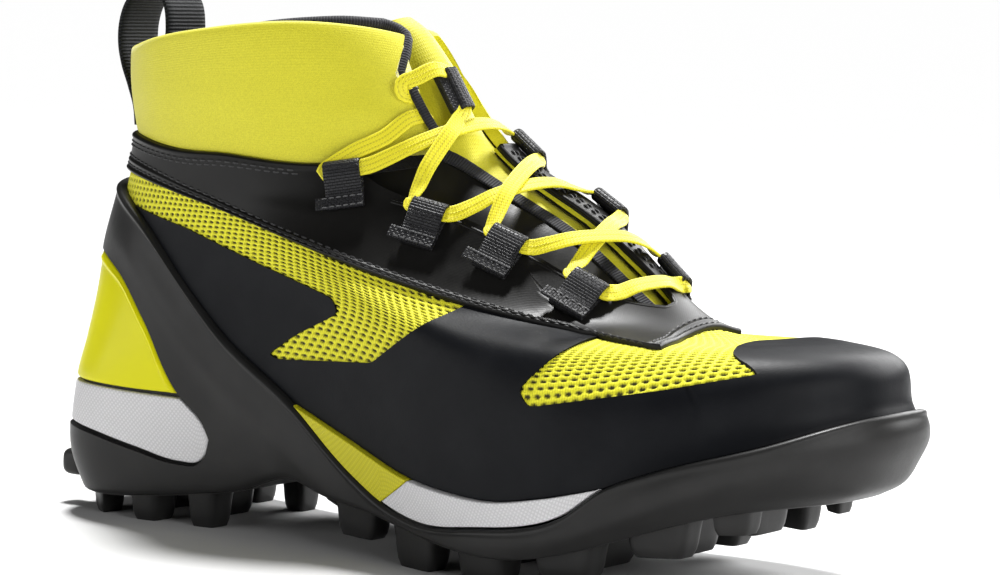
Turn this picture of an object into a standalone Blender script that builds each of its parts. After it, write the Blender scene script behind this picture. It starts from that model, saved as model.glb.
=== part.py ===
"""Right canyoneering shoe: a hollow mesh upper with welded overlays, an ankle cuff and a lugged rubber sole.

Sizes are millimetres in the tables below and are scaled once, where a mesh is made.
X runs from the heel to the toe, -Y is the outer (lateral) side, Z is up from the floor.
"""
import math

import bmesh
import bpy
import numpy as np
from mathutils import Matrix

MM = 0.001

# Driving dimensions
GAP = 0.3                # clearance where two pieces meet
WALL = 2.0               # upper
FILM = (0.3, 1.0)        # inner and outer face of the welded film, measured out from the upper
EYESTAY = (0.3, 1.5)     # inner and outer face of the eyestay band
RUBBER = (0.3, 3.2)      # inner and outer face of the sole wall
FOAM_FACE = 2.7          # how far the foam shows out in the sole's windows
CLIP = (0.4, 2.7)        # inner and outer face of the heel clip
CUFF = (-3.2, 0.8)       # inner and outer face of the padded cuff
CUFF_RIM = -1.6          # inner face of the cuff at its rim, where the binding lies
TONGUE = (-6.9, -3.9)    # inner and outer face of the tongue
BINDING_RADIUS = 1.3
INSOLE_THICK = 3.5
HEEL_DISH = 9.0          # depth of the foot's bed below the foam's edge, at the heel
TOE_DISH = 3.0
BED_SHARES = (0.12, 0.5, 0.88)   # where the bed's edges and middle lie across the sole
BED_BEND = (90, 190)     # x between which the bed rises from the heel's dish to the toe's
INSOLE_SHARES = (0.145, 0.5, 0.855)
INSOLE_ENDS = 3          # ring points left free at the heel and at the toe
SPLIT_X = 116.0          # where the heel foam meets the forefoot foam
FOAM_RUN = 220.0         # longer than either foam
FOAM_KEY = 1.0           # how far a showing face reaches into its foam
FOAM_TIP = 5.0           # how far the showing foam stops short of its pointed front end
WEDGE_TIP = 3.0          # the same for the arch wedge's pointed top
WEB_WIDTH = 12.0         # lace loop webbing
WEB_THICK = 1.1
PULL_WIDTH = 19.0
PULL_THICK = 1.8
LACE_WIDTH = 5.0
LACE_THICK = 1.4
ORIGIN = (143.5, 0.5)    # middle of the footprint box
HALF_SPAN = 90           # how far a side-view cutter reaches to either side
PLAN_SPAN = (40, 200)    # heights between which a plan cutter reaches

AROUND = 40              # points round a ring
# Levels at which every wall is built, so that the facets of neighbouring walls run alike
UPPER_LEVELS = (2.02, 2.5, 3, 3.6, 4.2, 4.8, 5.4, 6, 6.5, 7)
SOLE_LEVELS = (0.5, 1, 1.5) + UPPER_LEVELS[:7]
SOLE_TOP = 6.1           # above the arms' ends
TREAD_LEVEL = 0.45       # top of the rubber under the foam
FOAM_LEVELS = (0.49, 1.0, 1.5, 1.985)
FOAM_SHOWN = (0.3, 0.6, 1.0, 1.5, 1.95)
FILM_BOTTOM = 1.8
EYESTAY_TOP = 6.99
CUFF_LEVELS = (7.03, 7.3, 7.6, 7.85, 8.0)

# Rings of the last's outer surface, from the tread to above the rim. The widths are half widths at four
# stations along the ring, the heights are at the heel, waist, ball and front, square rounds the ends and
# fall is how much lower the inner side lies.
RING_COLUMNS = ("level", "heel_x", "front_x", "front_y", "z_heel", "z_waist", "z_ball", "z_front",
                "w_heel", "w_waist", "w_ball", "w_toe", "square", "fall")
RINGS = (
    (0, 3.0, 277, 9, 7.0, 16, 9.5, 32, 31.0, 27, 46, 34, 0.80, 0),        # tread
    (1, -2.5, 292, 9, 22.5, 25, 18.5, 48, 34.0, 29, 49, 37, 0.80, 0),     # rand
    (2, -1.5, 289, 9, 43.0, 39.5, 28.5, 59, 34.0, 31, 49, 36, 0.80, 0),   # feather edge
    (3, 1.0, 286, 9, 56.5, 57, 49.0, 70, 33.5, 33, 49, 35, 0.84, 0),      # fullest line
    (4, 2.0, 270, 9, 72.5, 77, 67.5, 74.7, 31.5, 34, 44, 30, 0.90, 2),      # vamp
    (5, 1.8, 226, 10, 89.5, 92.5, 79.5, 76, 28.5, 35, 35, 22, 0.95, 2),   # throat
    (6, 7.4, 184, 12, 108.0, 106, 101.0, 104.5, 27.0, 35, 29, 18, 0.95, 0),   # instep
    (7, 12.2, 145, 10, 127.0, 119.5, 119.0, 126.5, 25.5, 36, 30, 18, 0.95, 0),   # cuff seam
    (8, 11.2, 114, 5, 153.5, 159, 163.5, 165, 23.5, 36, 31, 19, 0.95, 2),   # rim
    (9, 9.5, 98, 3, 169.5, 175, 180.0, 182, 23.0, 36, 31, 19, 0.95, 2),     # above the rim
)
STATIONS = (0.12, 0.40, 0.70, 0.92)
HEIGHT_STATIONS = (0.0, 0.06, 0.40, 0.70, 0.93, 1.0)
CENTRE_LINE = ((0, 60, 120, 190, 250, 300), (0, -2, -4, -3, 4, 9))   # x, and y of the swung last

# Side-view lines, as x and z
SOLE_EDGE = ((-34, 111.5), (8, 109), (20.5, 105), (32, 99.5), (55.5, 78), (72, 63), (100.5, 45), (125, 27),
             (142.5, 18.5), (159.5, 15), (182.5, 17), (216, 24.5), (229, 34), (240, 38.5), (270.5, 48.5),
             (290, 56), (328, 62))
HEEL_WINDOW = ((-33, 83.5), (19, 84), (24.5, 80.5), (39, 66.5), (54.5, 42.5), (64, 33.5), (65.5, 29.5),
               (61.5, 21), (55.5, 20), (36, 23.5), (19, 27), (-31, 29.5))
CLIP_FOOT = ((-31, 43.6), (18.5, 43.6), (36, 43.2), (53.6, 43.2))
HEEL_FOAM_TOP = ((-30, 42.8), (20, 42.8), (37, 42.0), (55.4, 41.0))
FOAM_TOP = ((100.5, 45), (127, 36), (155, 28), (171, 26.3), (190, 26), (208, 29), (229, 34))
WEDGE_END = ((140.5, 19), (155, 28))
EYESTAY_EDGE = ((-34, 112.5), (24.5, 112), (64.5, 105), (100, 95.5), (135.5, 86.2), (171, 78.8), (198, 74.8),
                (221, 72.9), (231, 72.6), (250, 72.6))
REAR_WINDOW = ((-34, 109), (26.5, 102.3), (55, 96.8), (88, 87.5), (119.5, 79.5), (121.5, 75), (102, 66.5),
               (90, 59.3), (94, 58), (137, 61.3), (155.5, 73.5), (169.5, 84), (56.5, 113.5), (-34, 114.5))
FRONT_WINDOW = ((210, 80), (208.7, 73.2), (206.6, 71), (197.8, 60.5), (197.8, 58.5), (201.4, 54.9),
                (219, 58.4), (241.5, 62.9), (262.5, 68), (272, 70.5), (272, 95), (212, 95))
FILM_FOOT_FRONT = 231    # x past which the film's foot follows the rubber again

# Plan lines over the vamp, as x and y: the front of the eyestay, and the back of the toe cap
EYESTAY_FRONT = ((231, -70), (234, -34), (233.5, -28), (231, -18), (227.5, -7.5), (226, 5.5), (226, 16),
                 (228, 27), (231, 38), (231, 70))
TOE_CAP_BACK = ((268, -70), (268, -31), (264.5, -26.8), (261.5, -26), (257, -25), (254, -23),
                (252.5, -19.5), (248, -9), (244, 0), (242, 10), (244, 21), (250, 33), (254, 38),
                (259, 40.5), (268, 43), (268, 70))

# Plan of the throat as x, y of its middle and half width
THROAT = ((214, 5, 2.5), (211, 4, 5.5), (205, 2, 8.5), (195, -0.8, 10.2), (180, -2.8, 11.2),
          (170.5, -3.7, 11.7), (144, -5, 14), (112.5, -4.8, 19.8), (76, -2, 24))
CUFF_SLOT = ((166, 3, 13), (136, 3.5, 13), (109, 8, 8.5), (75, 8, 8.5))

# Binding up the cuff's front edges, as level and distance from the last, then round inside the rim
BINDING_CLIMB = ((7.1, -1.2), (7.35, -1.2), (7.6, -1.2), (7.8, -1.2), (7.95, -3.2))
RIM_LEVEL = 8
RIM_TURN = 3.0           # how far past the front edge the binding comes onto the rim
RIM_BINDING = (-3.6, 0.6)   # how far inside the last, and how far below the rim
RIM_STEPS = 26

# Edge lugs come in pairs at the tread's edge: x, height of the tip off the floor, length, width
EDGE_LUGS = ((14, 0, 12, 14), (37, 0, 12, 14), (59, 0, 12, 13), (126, 5.5, 22, 13), (154, 0, 22, 14),
             (183, 0, 22, 15), (212, 5, 21, 15), (239, 13.5, 18, 14), (257, 21, 10, 12))
# Middle lugs: x, y, height of the tip off the floor, length, width
MIDDLE_LUGS = ((25, 0, 0, 10, 20), (47, -1, 0, 10, 20), (140, -3, 2.5, 10, 22), (169, -3, 0, 10, 28),
               (198, -2, 2, 10, 30), (226, 1, 9, 10, 30), (249, 4, 17.5, 9, 26))
LUG_TAPER = 0.8
LUG_ROOT = 2.5           # how far a lug's root reaches into the tread
# Blocks that stand out of the back of the heel: x, y, z of the middle, then the size
END_BLOCKS = ((-4.4, -17, 14.5, 7.2, 8, 8), (-4.4, 17, 14.5, 7.2, 8, 8))

# Lace loops from the ankle down: ring and y of the fold, how these change along half of the fold, and how
# far the sewn end is raised where the band below it swells
LOOPS = (
    ("lateral_1", 6.95, -24.5, 0.0, -1.7, 1.8), ("medial_1", 6.90, 31.5, 0.0, 1.4, 1.8),
    ("lateral_2", 6.22, -19.0, 0.1, 0.3, 0.0), ("medial_2", 6.90, 18.0, 0.1, 0.3, 0.0),
    ("lateral_3", 5.82, -14.5, 0.1, 0.3, 0.0), ("medial_3", 6.10, 19.5, 0.1, 0.3, 0.0),
    ("lateral_4", 5.41, -10.5, 0.1, 0.3, 3.4), ("medial_4", 5.50, 18.0, 0.1, 0.3, 0.0),
)
TONGUE_LOOP = ("tongue", 7.39, 3.0, 0.1, 0.3, 0.0)
LOOP_REACH = 13.0        # sewn end to fold
LOOP_BORE = 1.2          # half height of the fold's hole
LOOP_SIDES = 6
FOLD_RUN = 2.0           # straight run behind the fold
HOLE_END = 4.5           # where the hole closes
SEWN_START = 7.0         # where the two layers lie flat together
LOOP_SEAT = 0.9          # clearance of a flat loop over the curved band
LACE_START = 8.9         # loop's middle to where a strand begins
STRAND_LIFT = 6.2        # how far a strand bows out between its loops
TOP_LIFT = 5.0           # the same over the tongue
STRAND_STEPS = 6

# Tongue as level, y of its middle, half width, half width and height of its crown in the slot, and how
# much deeper it lies than lower down
TONGUE_ROWS = ((4.5, 7, 9, 8, 0, 0), (5.0, 5, 18, 8, 0, 0), (5.6, 3, 24, 8, 0, 0), (6.3, 2, 27, 9, 0, 0),
               (7.0, 3.5, 26, 10.5, 1.5, 0), (7.25, 4.5, 25, 10, 4, 0), (7.55, 5.5, 23, 9, 8, 0.5),
               (7.9, 7.5, 19, 6.5, 7, 2), (8.12, 8, 14, 6, 4, 2))
TONGUE_ACROSS = 10

# Centre line of the pull loop's webbing, as x and z
PULL_PATH = ((9.6, 127), (8.8, 133), (6.2, 140), (3.2, 147), (1.8, 154), (2.4, 162), (5.5, 170),
             (11.0, 175.5), (17.0, 176), (21.5, 170), (22.6, 161), (21.6, 151), (19.7, 142), (19.2, 134))


def curve_through(knots, values, at):
    """Smooth curve through values[..., k] at knots[k], read at `at`."""
    knots = np.asarray(knots, float)
    values = np.asarray(values, float)
    at = np.clip(at, knots[0], knots[-1])
    steps = np.diff(knots)
    slopes = np.diff(values, axis=-1) / steps
    inner = (slopes[..., :-1] * steps[1:] + slopes[..., 1:] * steps[:-1]) / (steps[:-1] + steps[1:])
    tangents = np.concatenate([slopes[..., :1], inner, slopes[..., -1:]], axis=-1)
    k = np.clip(np.searchsorted(knots, at, side="right") - 1, 0, len(knots) - 2)

    def pick(table, index):
        if table.ndim == 1:
            return table[index]
        return np.take_along_axis(table, index[..., None], -1)[..., 0]

    t = (at - knots[k]) / steps[k]
    start = (2 * t**3 - 3 * t**2 + 1) * pick(values, k) + (t**3 - 2 * t**2 + t) * steps[k] * pick(tangents, k)
    end = (3 * t**2 - 2 * t**3) * pick(values, k + 1) + (t**3 - t**2) * steps[k] * pick(tangents, k + 1)
    return start + end


def ring_sizes(level):
    """The ring table's columns, each read at `level`."""
    table = np.array(RINGS, float)
    return {name: curve_through(table[:, 0], table[:, c], level) for c, name in enumerate(RING_COLUMNS)}


def surface(u, level):
    """Point on the last: u runs 0 to 1 from the heel round the outer side to the toe (0.5) and back."""
    u, level = np.broadcast_arrays(np.asarray(u, float) % 1.0, np.asarray(level, float))
    ring = ring_sizes(level)
    s = (1 - np.cos(2 * np.pi * u)) / 2
    x = ring["heel_x"] + (ring["front_x"] - ring["heel_x"]) * s
    side = np.where(u <= 0.5, -1.0, 1.0)

    def roundness(q):
        return 2 * np.sqrt(np.clip(q * (1 - q), 0, 1))

    inside = np.clip(s, 0.02, 0.98)
    width = 0.0
    for k, name in enumerate(("w_heel", "w_waist", "w_ball", "w_toe")):
        weight = 1.0
        for j, other in enumerate(STATIONS):
            if j != k:
                weight = weight * (inside - other) / (STATIONS[k] - other)
        width = width + weight * ring[name] / roundness(STATIONS[k]) ** ring["square"]
    width = width * roundness(s) ** ring["square"]
    lean = ring["front_y"] - curve_through(*CENTRE_LINE, ring["front_x"])
    y = curve_through(*CENTRE_LINE, x) + lean * s**2 + side * width
    heights = np.stack([ring["z_heel"], 0.97 * ring["z_heel"] + 0.03 * ring["z_waist"], ring["z_waist"],
                        ring["z_ball"], 0.85 * ring["z_front"] + 0.15 * ring["z_ball"], ring["z_front"]], -1)
    fall = ring["fall"] * (1 + side * roundness(s)) / 2
    return np.stack([x, y, curve_through(HEIGHT_STATIONS, heights, s) - fall], -1)


def outward(u, level):
    """Unit normal of the last at a point."""
    du, dv = 1e-3, 0.02
    along = surface(np.asarray(u) + du, level) - surface(np.asarray(u) - du, level)
    up = surface(u, np.asarray(level) + dv) - surface(u, np.asarray(level) - dv)
    normal = np.cross(along, up)
    return normal / np.linalg.norm(normal, axis=-1, keepdims=True)


def skin(u, level, out=0.0):
    """Point at distance `out` from the last."""
    return surface(u, level) + outward(u, level) * np.asarray(out)[..., None]


def u_at(level, y):
    """Where a ring's front half passes a given y."""
    u = np.linspace(0.2, 0.8, 241)
    return float(np.interp(y, surface(u, level)[:, 1], u))


def tread_height(x):
    """Height of the tread's underside at x."""
    u = np.linspace(0, 0.5, 121)
    ring = surface(u, 0.0)
    return float(np.interp(x, ring[:, 0], ring[:, 2]))


def tread_edge(x, side):
    """Y of the tread's edge at x, on the outer (-1) or inner (+1) side."""
    u = np.linspace(0, 0.5, 121)
    ring = surface(u if side < 0 else 1 - u, 0.0)
    return float(np.interp(x, ring[:, 0], ring[:, 1]))


def collection(name):
    """A collection of the scene, made when first asked for."""
    if name not in bpy.data.collections:
        bpy.context.scene.collection.children.link(bpy.data.collections.new(name))
    return bpy.data.collections[name]


def material(name, colour, roughness):
    """A plain Principled material."""
    made = bpy.data.materials.new(name)
    made.use_nodes = True
    shader = made.node_tree.nodes["Principled BSDF"]
    shader.inputs["Base Color"].default_value = (*colour, 1.0)
    shader.inputs["Roughness"].default_value = roughness
    return made


def add_object(name, mesh_data, group):
    """An object for a finished bmesh, in a collection."""
    mesh = bpy.data.meshes.new(name)
    mesh_data.to_mesh(mesh)
    mesh_data.free()
    made = bpy.data.objects.new(name, mesh)
    collection(group).objects.link(made)
    return made


def from_grid(name, rows, faces, group):
    """A closed mesh from millimetre points and faces, with its faces turned outward."""
    bm = bmesh.new()
    verts = [bm.verts.new([c * MM for c in point]) for point in rows]
    for face in faces:
        bm.faces.new([verts[k] for k in face])
    bmesh.ops.recalc_face_normals(bm, faces=bm.faces)
    return add_object(name, bm, group)


def wall_faces(low, high):
    """Triangles between a ring of points and the ring above it, all split the same way."""
    faces = []
    for k in range(AROUND):
        nxt = (k + 1) % AROUND
        faces.append((low + k, low + nxt, high + nxt))
        faces.append((low + k, high + nxt, high + k))
    return faces


def shell(name, levels, inner, outer, group="shoe"):
    """A band of wall all round the last, between two distances from it, over a run of levels."""
    u = np.arange(AROUND) / AROUND
    count = len(levels)
    sides = [np.broadcast_to(outer, count), np.broadcast_to(inner, count)]
    points = np.concatenate([skin(u, level, np.full(AROUND, out)) for side in sides
                             for level, out in zip(levels, side)])
    faces = wall_faces(0, count * AROUND) + wall_faces((count - 1) * AROUND, (2 * count - 1) * AROUND)
    for side in (0, count):
        for row in range(side, side + count - 1):
            faces += wall_faces(row * AROUND, (row + 1) * AROUND)
    return from_grid(name, points, faces, group)


def filled(name, levels, out, group="shoe", dish=False):
    """A solid body over a run of levels, flat across at both ends, or with a sunk bed on top."""
    u = np.arange(AROUND) / AROUND
    points = list(np.concatenate([skin(u, level, np.full(AROUND, out)) for level in levels]))
    faces = []
    for row in range(len(levels) - 1):
        faces += wall_faces(row * AROUND, (row + 1) * AROUND)
    half = AROUND // 2
    top = (len(levels) - 1) * AROUND
    chains = []
    for start in (0, top):
        for k in range(half + 1):
            mate = (AROUND - k) % AROUND
            chain = [start + k]
            if dish and start == top and 1 < k < half - 1:
                for share in BED_SHARES:
                    chain.append(len(points))
                    points.append(bed_point(points[start + k], points[start + mate], share))
            if mate != k:
                chain.append(start + mate)
            chains.append(chain)
        for k in range(half):
            faces += stitch(chains[-half - 1 + k], chains[-half + k])
    return from_grid(name, points, faces, group)


def bed_point(lateral, medial, share, lift=0.0):
    """A point of the foot's bed, sunk below the straight line across the foam's edges."""
    point = lateral + (medial - lateral) * share
    sunk = np.interp(point[0], BED_BEND, (HEEL_DISH, TOE_DISH))
    return point - np.array((0, 0, sunk - lift))


def stitch(first, second):
    """Faces between two chains of points across the last, of the same or different lengths."""
    if len(first) == len(second):
        pairs = zip(range(len(first) - 1), range(len(second) - 1))
        return [(first[a], first[a + 1], second[b + 1], second[b]) for a, b in pairs]
    ring = list(first) + list(second)[::-1]
    return [tuple(ring)]


def side_prism(name, outline, low=-HALF_SPAN, high=HALF_SPAN):
    """A cutter: a side-view outline drawn out along y."""
    return prism(name, [(x, low, z) for x, z in outline], (0, high - low, 0))


def plan_prism(name, outline):
    """A cutter: a plan outline drawn out along z."""
    low, high = PLAN_SPAN
    return prism(name, [(x, y, low) for x, y in outline], (0, 0, high - low))


def prism(name, corners, draw):
    """A flat outline drawn out into a cutter."""
    bm = bmesh.new()
    face = bm.faces.new([bm.verts.new([c * MM for c in corner]) for corner in corners])
    moved = bmesh.ops.extrude_face_region(bm, geom=[face])["geom"]
    ends = [g for g in moved if isinstance(g, bmesh.types.BMVert)]
    bmesh.ops.translate(bm, vec=[c * MM for c in draw], verts=ends)
    bmesh.ops.recalc_face_normals(bm, faces=bm.faces)
    made = add_object(name, bm, "cutters")
    made.hide_render = True
    made.display_type = "WIRE"
    return made


def combine(target, operation, other, solver="EXACT"):
    """A Boolean of one object with another, which becomes a hidden guide."""
    other.hide_render = True
    other.display_type = "WIRE"
    for group in list(other.users_collection):
        group.objects.unlink(other)
    collection("cutters").objects.link(other)
    step = target.modifiers.new(operation.title(), "BOOLEAN")
    step.operation = operation
    step.solver = solver
    step.object = other
    return target


def smooth_line(points, spacing=6.0):
    """A side-view line rounded through its points."""
    points = np.array(points, float)
    run = np.concatenate([[0], np.cumsum(np.linalg.norm(np.diff(points, axis=0), axis=1))])
    at = np.linspace(0, run[-1], max(2, int(run[-1] / spacing)))
    return [tuple(p) for p in np.stack([curve_through(run, points[:, 0], at),
                                        curve_through(run, points[:, 1], at)], -1)]


def shifted(line, dx, dz):
    """A line moved in side view."""
    return [(x + dx, z + dz) for x, z in line]


def above(line):
    """Side-view outline of everything above a line."""
    return list(line) + [(line[-1][0], PLAN_SPAN[1]), (line[0][0], PLAN_SPAN[1])]


def slot_outline(rows):
    """Plan outline of a slot about its middle line."""
    middle = np.array(rows, float)
    left = [(x, y - half) for x, y, half in middle]
    right = [(x, y + half) for x, y, half in middle[::-1]]
    return left + right


def build_outsole():
    """Rubber tread, heel cup, toe bumper and the arms that climb to the back of the ankle."""
    body = filled("outsole", (0,) + SOLE_LEVELS + (SOLE_TOP,), RUBBER[1])
    hollow = filled("sole_hollow", (TREAD_LEVEL,) + SOLE_LEVELS[1:] + UPPER_LEVELS[7:9], RUBBER[0], "cutters")
    combine(body, "DIFFERENCE", hollow)
    combine(body, "DIFFERENCE", side_prism("above_sole_edge", above(smooth_line(SOLE_EDGE))))
    combine(body, "DIFFERENCE", side_prism("heel_window", HEEL_WINDOW))
    for k, lug in enumerate(lug_boxes()):
        combine(body, "UNION", lug_block(f"lug_{k}", *lug))
    return body


def lug_boxes():
    """Middle x, middle y at the back and front, floor height, size and root heights of each lug."""
    boxes = []
    for x, tip, length, width in EDGE_LUGS:
        for side in (-1, 1):
            sides = [tread_edge(x + end * length / 2, side) - side * (width / 2 - 1) for end in (-1, 1)]
            boxes.append((x, sides, tip, length, width))
    lugs = []
    for x, sides, tip, length, width in boxes + [(x, (y, y), *rest) for x, y, *rest in MIDDLE_LUGS]:
        roots = [tread_height(x + end * length / 2) + LUG_ROOT for end in (-1, 1)]
        lugs.append((x, sides, tip, length, width, roots))
    for x, y, z, length, width, height in END_BLOCKS:
        lugs.append((x, (y, y), z - height / 2, length, width, [z + height / 2] * 2))
    return lugs


def lug_block(name, x, sides, tip, length, width, roots):
    """A block tapered towards its foot, which follows the tread's edge and whose root follows the tread."""
    bm = bmesh.new()
    bmesh.ops.create_cube(bm, size=2.0)
    for vert in bm.verts:
        a, b, c = vert.co
        taper = LUG_TAPER if c < 0 else 1.0
        height = tip if c < 0 else roots[0 if a < 0 else 1]
        y = (sides[0] + sides[1]) / 2 + a * taper * (sides[1] - sides[0]) / 2
        vert.co = ((x + a * taper * length / 2) * MM, (y + b * taper * width / 2) * MM, height * MM)
    return add_object(name, bm, "cutters")


def build_midsoles():
    """Heel and forefoot foam inside the rubber, with the faces that show in its windows."""
    edge = smooth_line(SOLE_EDGE)
    foam_top = smooth_line(FOAM_TOP)
    heel = filled("heel_midsole", FOAM_LEVELS, 0.0, dish=True)
    combine(heel, "DIFFERENCE", side_prism("front_of_heel_foam", box_outline(SPLIT_X, SPLIT_X + FOAM_RUN)))
    window = [p for p in inset(HEEL_WINDOW, GAP) if p[1] < HEEL_FOAM_TOP[-1][1]]
    pad = shell("heel_foam_face", FOAM_SHOWN, -FOAM_KEY, FOAM_FACE, "cutters")
    combine(pad, "INTERSECT", side_prism("heel_foam_outline", ordered(window + list(HEEL_FOAM_TOP))))
    combine(heel, "UNION", pad)

    fore = filled("forefoot_midsole", FOAM_LEVELS, 0.0, dish=True)
    behind_split = box_outline(SPLIT_X - FOAM_RUN, SPLIT_X + GAP)
    combine(fore, "DIFFERENCE", side_prism("back_of_fore_foam", behind_split))
    tip = FOAM_TOP[-1][0] - FOAM_TIP
    strip = [p for p in shifted(edge, 0, GAP) if WEDGE_END[0][0] + GAP < p[0] < tip]
    strip += [(x, z - GAP) for x, z in foam_top[::-1] if WEDGE_END[1][0] + 1 < x < tip]
    strip += shifted([WEDGE_END[1]], 0.5, -GAP)
    pad = shell("fore_foam_face", FOAM_SHOWN, -FOAM_KEY, FOAM_FACE, "cutters")
    combine(pad, "INTERSECT", side_prism("fore_foam_outline", strip))
    combine(fore, "UNION", pad)
    return [heel, fore]


def build_arch_wedges():
    """Yellow foam wedges between the rubber arm and the forefoot foam, one each side."""
    tip = FOAM_TOP[0][0] + WEDGE_TIP
    edge = shifted(smooth_line(SOLE_EDGE), GAP, GAP)
    top = shifted(smooth_line(FOAM_TOP), 0, -GAP)
    outline = [p for p in edge if tip < p[0] < WEDGE_END[0][0]]
    outline += [p for p in top[::-1] if tip < p[0] < WEDGE_END[1][0] - GAP]
    wedges = []
    for name, low, high in (("arch_wedge_lateral", -HALF_SPAN, 0), ("arch_wedge_medial", 0, HALF_SPAN)):
        wedge = shell(name, FOAM_SHOWN[:1] + SOLE_LEVELS[1:6], GAP, FOAM_FACE)
        wedges.append(combine(wedge, "INTERSECT", side_prism(f"{name}_outline", outline, low, high)))
    return wedges


def build_heel_clip():
    """Yellow moulded cradle round the heel, between the rubber arms and the heel foam."""
    clip = shell("heel_clip", FOAM_SHOWN[-1:] + UPPER_LEVELS[1:6], *CLIP)
    outline = [p for p in inset(HEEL_WINDOW, GAP) if p[1] > CLIP_FOOT[-1][1]] + list(CLIP_FOOT)
    return combine(clip, "INTERSECT", side_prism("heel_clip_outline", ordered(outline)))


def build_upper():
    """The hollow mesh upper, open at the ankle, throat and underneath."""
    upper = shell("upper", UPPER_LEVELS, -WALL, 0.0)
    return combine(upper, "DIFFERENCE", plan_prism("throat_plan", slot_outline(THROAT)))


def behind(line, back):
    """Plan outline of everything behind a line across the vamp."""
    return list(line) + [(back, line[-1][1]), (back, line[0][1])]


def eyestay_block(name, gap):
    """The space that the eyestay takes up, drawn out by a gap."""
    side = above(shifted(EYESTAY_EDGE, 0, -gap))
    front = behind([(x + gap, y) for x, y in EYESTAY_FRONT], EYESTAY_EDGE[0][0])
    return combine(side_prism(name, side), "INTERSECT", plan_prism(f"{name}_front", front))


def build_film():
    """Black welded film over the mesh, with the mesh windows left open."""
    film = shell("film_overlay", (FILM_BOTTOM,) + UPPER_LEVELS[:9], *FILM)
    edge = shifted(smooth_line(SOLE_EDGE), GAP / 2, GAP)
    foot = [p for p in edge if p[0] < FOAM_TOP[0][0]] + smooth_line(FOAM_TOP)
    foot += [p for p in edge if p[0] > FILM_FOOT_FRONT]
    combine(film, "INTERSECT", side_prism("film_region", above(foot)), "MANIFOLD")
    combine(film, "DIFFERENCE", eyestay_block("film_top", GAP), "MANIFOLD")
    combine(film, "DIFFERENCE", side_prism("rear_window", REAR_WINDOW), "MANIFOLD")
    window = side_prism("front_window", FRONT_WINDOW)
    combine(window, "INTERSECT", plan_prism("front_window_plan", behind(TOE_CAP_BACK, THROAT[3][0])))
    return combine(film, "DIFFERENCE", window, "MANIFOLD")


def build_eyestay():
    """Smooth band round the ankle and down both sides of the throat."""
    band = shell("eyestay", UPPER_LEVELS[3:9] + (EYESTAY_TOP,), *EYESTAY)
    combine(band, "INTERSECT", eyestay_block("eyestay_region", 0), "MANIFOLD")
    return combine(band, "DIFFERENCE", plan_prism("eyestay_throat", slot_outline(THROAT)), "MANIFOLD")


def build_cuff():
    """Padded stretch cuff, open at the front over the tongue."""
    inner = [CUFF[0]] * (len(CUFF_LEVELS) - 1) + [CUFF_RIM]
    cuff = shell("ankle_cuff", CUFF_LEVELS, inner, CUFF[1])
    return combine(cuff, "DIFFERENCE", plan_prism("cuff_slot", slot_outline(CUFF_SLOT)))


def cuff_front(side, level):
    """Where the cuff's front edge lies on a ring: -1 for the outer side, +1 for the inner."""
    rows = np.array(CUFF_SLOT[::-1], float)
    x = surface(0.5, level)[0]
    for _ in range(4):
        y = np.interp(x, rows[:, 0], rows[:, 1]) + side * np.interp(x, rows[:, 0], rows[:, 2])
        x = surface(u_at(level, y), level)[0]
    return y


def build_binding():
    """Dark rolled edge up the cuff's front edges and round inside its rim."""
    clear = BINDING_RADIUS + GAP
    path = []
    for side in (-1, 1):
        climb = []
        for level, out in BINDING_CLIMB:
            y = cuff_front(side, level) - side * clear
            climb.append(skin(u_at(level, y), level, out))
        path.append(climb)
    start = u_at(RIM_LEVEL, cuff_front(-1, RIM_LEVEL) - RIM_TURN)
    end = u_at(RIM_LEVEL, cuff_front(1, RIM_LEVEL) + RIM_TURN)
    rim = [skin(u, RIM_LEVEL, RIM_BINDING[0]) - (0, 0, RIM_BINDING[1])
           for u in np.linspace(start, end - 1.0, RIM_STEPS)]
    route = path[0] + rim + path[1][::-1]
    return tube("cuff_binding", route, BINDING_RADIUS)


def tube(name, route, radius):
    """A round cord along a route."""
    data = bpy.data.curves.new(name, "CURVE")
    data.dimensions = "3D"
    data.bevel_depth = radius * MM
    data.bevel_resolution = 1
    data.use_fill_caps = True
    spline = data.splines.new("POLY")
    spline.points.add(len(route) - 1)
    for point, place in zip(spline.points, route):
        point.co = (*(c * MM for c in place), 1.0)
    made = bpy.data.objects.new(name, data)
    collection("shoe").objects.link(made)
    return made


def tongue_crown(level, y):
    """How far the tongue stands forward in the cuff's slot."""
    rows = np.array(TONGUE_ROWS, float)
    middle, reach, rise, sink = (np.interp(level, rows[:, 0], rows[:, c]) for c in (1, 3, 4, 5))
    return rise * max(0.0, 1 - ((y - middle) / reach) ** 2) - sink


def build_tongue():
    """Padded tongue under the throat, rising past the rim."""
    rows, crowns = [], []
    for level, middle, half, *_ in TONGUE_ROWS:
        ys = middle + half * np.linspace(-1, 1, TONGUE_ACROSS + 1)
        rows.append([(u_at(level, y), level) for y in ys])
        crowns.append([tongue_crown(level, y) for y in ys])
    grid = np.array(rows)
    faces = []
    points = []
    for out in TONGUE:
        points += list(skin(grid[..., 0], grid[..., 1], out + np.array(crowns)).reshape(-1, 3))
    count, across = grid.shape[:2]
    size = count * across
    for r in range(count - 1):
        for c in range(across - 1):
            a = r * across + c
            quad = (a, a + 1, a + across + 1, a + across)
            faces.append(quad)
            faces.append(tuple(size + k for k in quad[::-1]))
    rim = [c for c in range(across)] + [r * across + across - 1 for r in range(1, count)]
    rim += [size - 1 - c for c in range(1, across)] + [r * across for r in range(count - 2, 0, -1)]
    for a, b in zip(rim, rim[1:] + rim[:1]):
        faces.append((a, b, size + b, size + a))
    return from_grid("tongue", points, faces, "shoe")


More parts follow.
